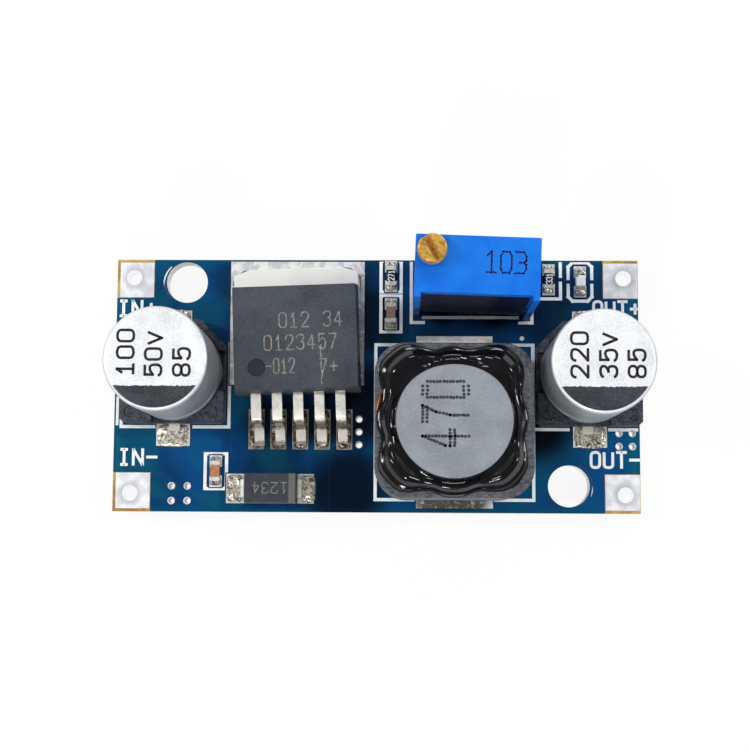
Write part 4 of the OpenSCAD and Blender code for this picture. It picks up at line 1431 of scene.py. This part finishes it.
@dataclass
class Board:
    """Bare board: laminate, lacquer, printed signs, pads and plated holes.

    A sign is its piece's name, its text, where it starts, a letter's width before it is slimmed
    and the step to the next. Nothing printed goes past right_edge.
    """

    sign_pen: float = 0.23
    sign_height: float = 1.24
    slim: float = 0.82
    right_edge: float = 21.48
    signs: tuple[tuple[str, str, tuple[float, float], float, float], ...] = (
        ("in_minus_sign", "IN-", (-21.0, -6.74), 0.92, 1.14),
        ("in_plus_sign", "IN+", (-21.32, 5.55), 0.92, 1.14),
        ("out_minus_sign", "OUT-", (17.52, -6.81), 0.85, 1.06),
        ("out_plus_sign", "OUT+", (17.85, 5.6), 0.82, 1.02),
    )
    line_start: tuple[float, float, float] = (3.85, 5.43, 1.652)
    line_length: float = 7.73
    dot_place: tuple[float, float, float] = (11.95, 3.75, BOARD_TOP)
    dot_radii: tuple[float, float] = (0.2, 0.18)

    def make(self) -> None:
        """Dress the board and print its signs."""
        dress(LAMINATE, "circuit_board")
        dress(MASK, "solder_mask_top", "solder_mask_bottom")
        dress(INK, "ink_outlines")
        dress(PAD, "component_pads", "via_barrels")
        dress(RINGS, "trimmer_pads")
        for side in ("in", "out"):
            dress(CORNER, f"{side}_plus_terminal", f"{side}_minus_terminal")
        for name, text, place, width, advance in self.signs:
            Print(
                name, text, (*place, BOARD_TOP), width=width * self.slim, height=self.sign_height,
                advance=advance, pen=self.sign_pen, finish=INK, cut_at=self.right_edge,
            ).make()
        Print(
            "trimmer_sign_line", "-", self.line_start, width=self.line_length, height=0.1,
            pen=0.24, finish=INK, thick=0.012,
        ).make()
        dot = bmesh.new()
        add_dot(dot, self.dot_place, self.dot_radii, depth=0.04, segments=24)
        placed(dot, "printed_dot", INK)


@dataclass
class Regulator:
    """Five-lead regulator on its heat pad, with laser-marked figures.

    A row is its name, its text, where it starts and the step from one figure to the next.
    """

    turn: float = 2.2
    slim: float = 0.66
    scratch: tuple[float, float] = (-4.36, -0.5)
    rows: tuple[tuple[str, str, tuple[float, float], float], ...] = (
        ("first", "012 34", (-7.66, 3.98), 0.88),
        ("second", "0123457", (-8.82, 2.14), 0.86),
        ("third", "-012", (-8.66, 0.3), 0.62),
        ("fourth", "7+", (-4.36, 0.3), 0.82),
    )

    def make(self) -> None:
        """Round its edges, dress it and mark it."""
        top = top_of("regulator_body")
        rounded("regulator_body", "regulator_moulding", replace(MOULDING, top=top), width=0.1)
        rounded("regulator_tab", "regulator_heat_tab", TAB, width=0.07)
        rounded("regulator_leads", "regulator_legs", LEG, width=0.05)
        Print(
            "regulator_scratch", "/", (*self.scratch, top), width=0.3, height=3.1, pen=0.09,
            finish=LASER_MARK, turn=self.turn, thick=0.006,
        ).make()
        for name, text, place, advance in self.rows:
            Print(
                f"regulator_{name}_row", text, (*place, top), width=advance * self.slim,
                height=1.18, advance=advance, pen=0.11, finish=LASER_MARK, turn=self.turn,
                thick=0.008,
            ).make()


@dataclass
class Diode:
    """Two-lead diode with a band at one end and figures that read the other way up."""

    band: tuple[float, float] = (3.68, 4.22)
    figures: tuple[float, float] = (3.5, 0.42)

    def make(self) -> None:
        """Round its edges, dress it and mark it."""
        left, top = millimetres("diode_body")[0].x, top_of("diode_body")
        finish = replace(DIODE_MOULDING, band=(left + self.band[0], left + self.band[1]))
        rounded("diode_body", "diode_moulding", finish, width=0.07)
        rounded("diode_leads", "diode_legs", LEAD, width=0.03)
        start = (left + self.figures[0], middle("diode_body").y + self.figures[1], top)
        Print(
            "diode_figures", "1234", start, width=0.5, height=0.86, advance=0.74, pen=0.09,
            finish=FAINT_MARK, turn=180.0, thick=0.006,
        ).make()


@dataclass
class Inductor:
    """Shielded inductor: drum core glued into its shield with a glossy black bead.

    The bead covers the drum's edge and is lobed into the shield's corners. A lobe is its angle in
    degrees and how far it reaches, and section is where the bead's crown has points, from its
    inner edge (0) to its outer one (1).
    """

    drum_radius: float = 4.55
    drum_rim: float = 4.7
    cover: float = 0.3
    clear: float = 0.03
    off_centre: tuple[float, float] = (-0.17, -0.1)
    bead_reach: float = 5.84
    bead_steps: int = 288
    foot_radius: float = 5.3
    foot_depth: float = 0.5
    lobes: tuple[tuple[float, float], ...] = (
        (48.0, 1.28), (133.0, 1.36), (223.0, 0.98), (319.0, 1.02),
    )
    lobe_spread: float = 19.0
    section: tuple[float, ...] = (
        0.0, 0.05, 0.11, 0.18, 0.25, 0.32, 0.39, 0.46, 0.53, 0.6, 0.67, 0.74, 0.79, 0.84, 0.88,
        0.92, 0.95, 0.98, 1.0,
    )
    wire_ring: float = 5.98
    wire_radius: float = 0.085
    wire_start: float = 158.0
    wire_sweep: float = 15.0

    def lobe(self, angle: float) -> tuple[float, float]:
        """Find how an angle lies to the lobes.

        Args:
            angle: Angle about the drum's axis, in degrees.

        Returns:
            The reach beyond the bead, in millimetres, and the share of a lobe, from 0 to 1.
        """
        reach, share = 0.0, 0.0
        for place, size in self.lobes:
            gap = abs((angle - place + 180) % 360 - 180) / self.lobe_spread
            near = math.exp(-(gap ** 3.2))
            reach += size * near - 0.17 * bump(gap, 1.62, 0.36)
            share += near
        return reach, share

    def crown(self, share: float, lobe: float) -> float:
        """Find the bead's height above its feet.

        Args:
            share: Place between the bead's inner edge (0) and its outer one (1).
            lobe: Share of a lobe, from 0 to 1.

        Returns:
            The height, in millimetres.
        """
        fall = 0.5 * (1 - share ** 2.6) - 0.1 * bump(share, 0.2, 0.1) + 0.1 * bump(share, 0.0, 0.06)
        ridge = 0.26 * bump(share, 0.5, 0.15) * (1 - lobe)
        dome = 0.66 * bump(share, 0.5, 0.25) * lobe ** 1.8
        rim = 0.14 * bump(share, 0.87, 0.06)
        return (fall + ridge + dome + rim) * min(1.0, 12 * (1 - share)) ** 0.5

    def bead(self) -> bmesh.types.BMesh:
        """Turn the bead of adhesive and push it out into its lobes.

        Returns:
            The bead, in millimetres.
        """
        centre, drum_top = middle("inductor_drum_core"), top_of("inductor_drum_core")
        top, inner, reach = top_of("inductor_shield"), self.drum_radius, self.bead_reach
        span, shift = reach - inner, Vector(self.off_centre)
        points = [(inner + share * span, top + 0.5) for share in self.section]
        foot = [(reach, top - 0.02), (self.foot_radius, top - 0.02)]
        foot += [(self.foot_radius, top - self.foot_depth), (inner + 0.25, top - self.foot_depth)]
        foot += [(inner, top + 0.45), points[0]]
        shape = turned([*points, *foot], (0.0, 0.0), self.bead_steps)
        for vert in shape.verts:
            radius, way = vert.co.xy.length, vert.co.xy.normalized()
            share = min(1.0, max(0.0, (radius - inner) / span))
            out, lobe = self.lobe(math.degrees(math.atan2(way.y, way.x)))
            shake = noise.noise(Vector((vert.co.x * 0.6, vert.co.y * 0.6, 0.3)))
            start = way * (inner - self.cover * max(0.0, way.y) ** 3)
            spot = start.lerp(way * (reach + out + 0.08 * shake) + shift, share)
            if vert.co.z > top + 0.4:
                wave = 0.08 * shake * math.sin(math.pi * share)
                vert.co.z = top + self.crown(share, min(1.0, lobe)) + wave
                if spot.length < self.drum_rim:
                    vert.co.z = max(vert.co.z, drum_top + self.clear)
            vert.co.xy = spot
        bmesh.ops.translate(shape, vec=(centre.x, centre.y, 0.0), verts=shape.verts)
        return shape

    def wire_glimpse(self) -> bmesh.types.BMesh:
        """Bend the short run of winding wire that shows at the bead's edge.

        Returns:
            The wire, in millimetres.
        """
        centre, shape = middle("inductor_drum_core"), bmesh.new()
        height = top_of("inductor_shield") + self.wire_radius
        ring = bmesh.ops.create_circle(shape, segments=12, radius=self.wire_radius)["verts"]
        upright = Matrix.Rotation(math.pi / 2, 3, "X")
        start = Matrix.Rotation(math.radians(self.wire_start), 3, "Z")
        bmesh.ops.rotate(shape, verts=ring, cent=(0, 0, 0), matrix=upright)
        bmesh.ops.translate(shape, vec=(self.wire_ring, 0, height), verts=ring)
        bmesh.ops.rotate(shape, verts=ring, cent=(0, 0, 0), matrix=start)
        bmesh.ops.spin(
            shape, geom=shape.verts[:] + shape.edges[:], cent=(0, 0, 0), axis=(0, 0, 1),
            angle=math.radians(self.wire_sweep), steps=18,
        )
        bmesh.ops.holes_fill(shape, edges=shape.edges, sides=12)
        bmesh.ops.recalc_face_normals(shape, faces=shape.faces)
        bmesh.ops.translate(shape, vec=(centre.x, centre.y, 0.0), verts=shape.verts)
        return shape

    def make(self) -> None:
        """Build the bead and dress the cores, the winding and the terminals."""
        dress(WIRE, "inductor_winding")
        dress(PAD, "inductor_terminals")
        rounded("inductor_shield", "inductor_outer_core", SHIELD, width=0.14, segments=3, sharp=60)
        rounded("inductor_drum_core", "inductor_drum", DRUM, width=0.05, sharp=60)
        placed(self.bead(), "inductor_bead", ADHESIVE, stands_for=("inductor_adhesive",))
        placed(self.wire_glimpse(), "inductor_wire_glimpse", WIRE)
        Print(
            "inductor_figures", "470", (7.2, -5.56, top_of("inductor_drum_core")), width=1.22,
            height=3.5, advance=1.85, pen=0.29, finish=DOT_PRINT, turn=90.0, thick=0.01,
            spacing=0.25,
        ).make()


@dataclass
class CanCapacitor:
    """Can capacitor on its square base, with its rating printed on the top.

    A row is its text, its place across the top, where it starts and the step to the next figure.
    """

    side: str
    rows: tuple[tuple[str, float, float, float], ...]
    chord: float = -2.1
    radius: float = 4.0
    crimp_height: float = 3.0
    crimp_depth: float = 0.14
    crimp_half: float = 0.5
    edge: float = 0.36
    sunk: float = 0.012
    slim: float = 0.68

    def section(self, low: float, high: float) -> list[tuple[float, float]]:
        """Set out the can's half section.

        Args:
            low: Height of the can's bottom.
            high: Height of its top.

        Returns:
            The section as (radius, height), from the axis round to the axis.
        """
        radius, crimp, edge = self.radius, SEAT + self.crimp_height, self.edge
        groove = [
            (
                radius - self.crimp_depth * (1 + math.cos(math.radians(turn))),
                crimp + self.crimp_half * turn / 180,
            )
            for turn in range(-180, 181, 30)
        ]
        turns = [math.radians(turn) for turn in range(0, 91, 10)]
        round_over = [
            (radius - edge * (1 - math.cos(turn)), high - edge * (1 - math.sin(turn)))
            for turn in turns
        ]
        foot = [(0.0, low), (radius - 0.2, low), (radius - 0.06, low + 0.06), (radius, low + 0.2)]
        lid = [(radius - 0.5, high - self.sunk), (0.0, high - self.sunk)]
        return [*foot, *groove, *round_over, *lid]

    def make(self) -> None:
        """Spin the can, round the base, dress both and print the top."""
        can, base, leads = (f"{self.side}_capacitor_{part}" for part in ("can", "base", "leads"))
        centre, (low, high) = middle(can), millimetres(can)
        finish = replace(CAN, centre=(centre.x, centre.y), top=high.z, chord=self.chord)
        shape = turned(self.section(low.z, high.z), (centre.x, centre.y), 128)
        placed(shape, f"{self.side}_can_shell", finish, stands_for=(can,), crease=50)
        rounded(base, f"{self.side}_can_seat", BASE, width=0.06)
        rounded(leads, f"{self.side}_can_legs", LEAD, width=0.03)
        for number, (text, across, start, advance) in enumerate(self.rows):
            Print(
                f"{self.side}_can_row_{number + 1}", text, (across, start, high.z - self.sunk),
                width=advance * self.slim, height=1.24, advance=advance, pen=0.21,
                finish=BLACK_PRINT, turn=90.0, thick=0.012,
            ).make()


@dataclass
class Trimmer:
    """Multi-turn trimmer: blue housing, brass screw, and the works inside."""

    turn: float = -1.95
    figure_place: tuple[float, float] = (8.42, 7.42)

    def make(self) -> None:
        """Round the housing and the screw, dress the works and print the value."""
        rounded("trimmer_housing", "trimmer_case", HOUSING, width=0.08)
        rounded("trimmer_screw", "trimmer_brass_screw", BRASS, width=0.07, sharp=40, body="screw")
        works = {
            "seal": SEAL, "rotor": ROTOR, "wiper": WIPER, "element": CERAMIC, "potting": POTTING,
            "pins": LEAD, "solder": SOLDER,
        }
        for part, finish in works.items():
            dress(finish, f"trimmer_{part}")
        Print(
            "trimmer_figures", "1O3", (*self.figure_place, top_of("trimmer_housing")), width=0.82,
            height=1.62, advance=1.1, pen=0.19, finish=DARK_PRINT, turn=self.turn, thick=0.008,
            spacing=0.15,
        ).make()


@dataclass
class ChipParts:
    """Chip resistors and capacitors and the chip light, with rounded edges."""

    coded: tuple[tuple[str, str], ...] = (("led_resistor", "331"), ("feedback_resistor", "271"))
    code_start: tuple[float, float] = (0.25, -0.4)
    plain: tuple[tuple[str, Finish], ...] = (
        ("feedback_capacitor", CHIP_TAN), ("bypass_capacitor", CHIP_ORANGE),
    )
    dot_start: tuple[float, float] = (-0.28, -0.14)
    dot_radii: tuple[float, float] = (0.09, 0.08)

    def make(self) -> None:
        """Round and dress each chip part."""
        for name, figures in self.coded:
            self.chip(name, GLASS)
            spot, top = middle(f"{name}_body"), top_of(f"{name}_body")
            start = (spot.x + self.code_start[0], spot.y + self.code_start[1], top)
            Print(
                f"{name}_figures", figures, start, width=0.22, height=0.48, advance=0.3, pen=0.07,
                finish=INK, turn=90.0, thick=0.006,
            ).make()
        for name, finish in self.plain:
            self.chip(name, finish)
        rounded("led_board", "light_base", LED_BASE, width=0.02)
        rounded("led_lens", "light_lens", LED_RESIN, width=0.07, segments=3)
        rounded("led_terminals", "light_ends", SOLDER, width=0.02)
        spot, high = middle("led_lens"), millimetres("led_lens")[1]
        dot = bmesh.new()
        place = (spot.x + self.dot_start[0], high.y + self.dot_start[1], high.z)
        add_dot(dot, place, self.dot_radii, depth=0.02, segments=16)
        placed(dot, "light_green_dot", GREEN_DOT)

    def chip(self, name: str, finish: Finish) -> None:
        """Round one chip's core and its two ends.

        Args:
            name: Name of the chip part.
            finish: Finish of its core.
        """
        rounded(f"{name}_body", f"{name}_core", finish, width=0.04)
        rounded(f"{name}_ends", f"{name}_caps", LEAD, width=0.03)


@dataclass
class Solder:
    """Solder joints of the surface parts: lumps that wet each pad and climb each lead.

    A joint's size is half its width, half its depth and its height.
    """

    chips: tuple[str, ...] = (
        "bypass_capacitor_ends", "led_terminals", "led_resistor_ends", "feedback_resistor_ends",
        "feedback_capacitor_ends",
    )
    chip_size: Size = (0.47, 0.36, 0.36)
    chip_out: float = 0.03
    legs: tuple[float, float] = (-6.19, -3.8)
    leg_pitch: float = 1.8
    leg_size: Size = (0.6, 1.58, 0.36)
    diode: tuple[tuple[float, float, Size], ...] = (
        (-11.5, -8.65, (0.66, 1.14, 0.34)), (-5.5, -8.65, (0.6, 1.14, 0.34)),
    )
    cans: tuple[tuple[str, float], ...] = (("input", -0.13), ("output", 0.2))
    can_middle: float = 0.4
    can_out: float = 4.75
    can_size: Size = (1.3, 0.92, 0.16)

    def joints(self) -> Iterator[tuple[float, float, Size]]:
        """Set out the joints.

        Yields:
            The place along X and Y, and the size, in millimetres.
        """
        for name in self.chips:
            low, high = millimetres(name)
            for end, out in ((low.y, -1), (high.y, 1)):
                yield (low.x + high.x) / 2, end + self.chip_out * out, self.chip_size
        for number in range(-2, 3):
            yield self.legs[0] + self.leg_pitch * number, self.legs[1], self.leg_size
        yield from self.diode
        for side, shift in self.cans:
            across = middle(f"{side}_capacitor_leads").x + shift
            for out in (-1, 1):
                yield across, self.can_middle + out * self.can_out, self.can_size

    def lump(self, shape: bmesh.types.BMesh, x: float, y: float, size: Size) -> None:
        """Add one joint to a shape.

        Args:
            shape: Shape to add it to.
            x: Its place along X.
            y: Its place along Y.
            size: Its size.
        """
        wide, deep, tall = size
        ball = bmesh.ops.create_uvsphere(shape, u_segments=40, v_segments=20, radius=1.0)
        for vert in ball["verts"]:
            across, along, up = vert.co
            shake = noise.noise(Vector((x + across * 1.6 * wide * 2, y + along * deep * 3, up)))
            fine = noise.noise(Vector((x + across * wide * 9, y + along * deep * 9, up * 2)))
            vert.co.x = x + math.copysign(abs(across) ** 0.5, across) * wide * (1 + 0.05 * shake)
            vert.co.y = y + math.copysign(abs(along) ** 0.5, along) * deep * (1 + 0.05 * shake)
            rise = up * tall * (1 + 0.5 * shake + 0.1 * fine) if up > 0 else up * 0.04
            vert.co.z = SEAT + rise

    def make(self) -> None:
        """Build all joints as one piece."""
        shape = bmesh.new()
        for x, y, size in self.joints():
            self.lump(shape, x, y, size)
        placed(shape, "solder_joints", SOLDER, stands_for=("solder_fillets",), crease=60)


@dataclass
class Studio:
    """Camera, soft lights and a pale floor.

    A lamp is its name, its place, its two sides and its power in watts. The sky lights the module
    evenly, while reflections see a dim ceiling and pale walls, the front one darker.
    """

    camera_place: tuple[float, float, float] = (2.16, -12.21, 122.30)
    camera_turn: tuple[float, float, float] = (6.108, 1.044, 0.312)
    lens: float = 70.97
    sensor: float = 36.0
    nearest: float = 5.0
    farthest: float = 5000.0
    floor_level: float = -1.0
    floor_half: float = 1500.0
    floor_glow: float = 0.9
    sky: float = 0.53
    ceiling: float = 0.12
    wall_top: float = 0.22
    front: tuple[float, float] = (-0.25, -0.75)
    front_dim: float = 0.8
    lamps: tuple[tuple[str, tuple[float, float, float], tuple[float, float], float], ...] = (
        ("left_softbox", (-220.0, 50.0, 240.0), (44.0, 140.0), 0.33),
        ("back_softbox", (30.0, 260.0, 230.0), (150.0, 44.0), 0.22),
        ("right_softbox", (250.0, 60.0, 220.0), (54.0, 96.0), 0.27),
        ("front_softbox", (-50.0, -250.0, 230.0), (70.0, 36.0), 0.42),
    )

    def camera(self) -> None:
        """Set the camera up."""
        data = bpy.data.cameras.new("studio_camera")
        data.lens, data.sensor_width = self.lens, self.sensor
        data.clip_start, data.clip_end = self.nearest * MM, self.farthest * MM
        camera = linked("studio_camera", data)
        camera.location = Vector(self.camera_place) * MM
        camera.rotation_euler = [math.radians(turn) for turn in self.camera_turn]
        bpy.context.scene.camera = camera

    def lamp(
        self, name: str, place: tuple[float, float, float], size: tuple[float, float], power: float
    ) -> None:
        """Hang one soft lamp that faces the module.

        Args:
            name: Name of the lamp.
            place: Its place, in millimetres.
            size: Its two sides, in millimetres.
            power: Its power, in watts.
        """
        data = bpy.data.lights.new(name, "AREA")
        data.shape, data.energy = "RECTANGLE", power
        data.size, data.size_y = size[0] * MM, size[1] * MM
        lamp = linked(name, data)
        lamp.location = Vector(place) * MM
        lamp.rotation_euler = (-Vector(place)).to_track_quat("-Z", "Y").to_euler()

    def floor(self) -> None:
        """Lay the floor, white to the camera and in reflections, with the shadow kept."""
        shader = Shader("studio_floor")
        shown, mirrored = shader.rays()
        paper = shader.node("ShaderNodeBsdfDiffuse", None, {"Color": tone(240, 240, 240)})
        glow = shader.node("ShaderNodeEmission", None, {"Color": WHITE, "Strength": 1.0})
        looks = {
            0: shown.most(mirrored) * self.floor_glow,
            1: Wire(shader, paper.outputs[0]),
            2: Wire(shader, glow.outputs[0]),
        }
        both = Wire(shader, shader.node("ShaderNodeMixShader", None, looks).outputs[0])
        shader.node("ShaderNodeOutputMaterial", None, {"Surface": both})
        shape = bmesh.new()
        bmesh.ops.create_grid(shape, x_segments=1, y_segments=1, size=self.floor_half * MM)
        bmesh.ops.translate(shape, vec=(0, 0, self.floor_level * MM), verts=shape.verts)
        mesh = bpy.data.meshes.new("studio_floor")
        shape.to_mesh(mesh)
        shape.free()
        mesh.materials.append(shader.material)
        linked("studio_floor", mesh)

    def world(self) -> None:
        """Light the room evenly, with walls and ceiling where the camera or a mirror sees them."""
        world = bpy.data.worlds.new("studio_room")
        world.use_nodes = True
        bpy.context.scene.world = world
        shader = Shader("studio_room", world)
        way = Wire(shader, shader.node("ShaderNodeTexCoord").outputs["Generated"])
        parts = shader.node("ShaderNodeSeparateXYZ", None, {0: way}).outputs
        up, front = Wire(shader, parts["Z"]), Wire(shader, parts["Y"]).rise(*self.front)
        shown, mirrored = shader.rays()
        walls = up.rise(self.wall_top, 0.0) * (1 - front * self.front_dim)
        seen = walls * (1 - self.ceiling) + self.ceiling
        light = shown.most(mirrored * seen).most((1 - shown.most(mirrored)) * self.sky)
        room = shader.node("ShaderNodeBackground", None, {"Color": WHITE, "Strength": light})
        shader.node("ShaderNodeOutputWorld", None, {"Surface": Wire(shader, room.outputs[0])})

    def make(self) -> None:
        """Set the studio up."""
        bpy.context.scene.view_settings.view_transform = "Standard"
        self.camera()
        self.floor()
        self.world()
        for lamp in self.lamps:
            self.lamp(*lamp)


INPUT_ROWS = (
    ("100", -18.1, -0.46, 1.26), ("50V", -15.98, -0.54, 1.22), ("85", -13.85, -0.52, 1.22),
)
OUTPUT_ROWS = (
    ("220", 16.02, -0.56, 1.26), ("35V", 18.18, -0.54, 1.22), ("85", 20.3, -0.52, 1.22),
)


def main() -> None:
    """Build the module in order."""
    logging.basicConfig(level=logging.INFO, format="%(name)s %(message)s")
    noise.seed_set(SEED)
    parts = [
        Studio(),
        Board(),
        Regulator(),
        Diode(),
        Inductor(),
        CanCapacitor("input", INPUT_ROWS),
        CanCapacitor("output", OUTPUT_ROWS, chord=-1.96),
        Trimmer(),
        ChipParts(),
        Solder(),
    ]
    for part in parts:
        LOG.info("building %s", type(part).__name__)
        part.make()


if __name__ == "__main__":
    main()
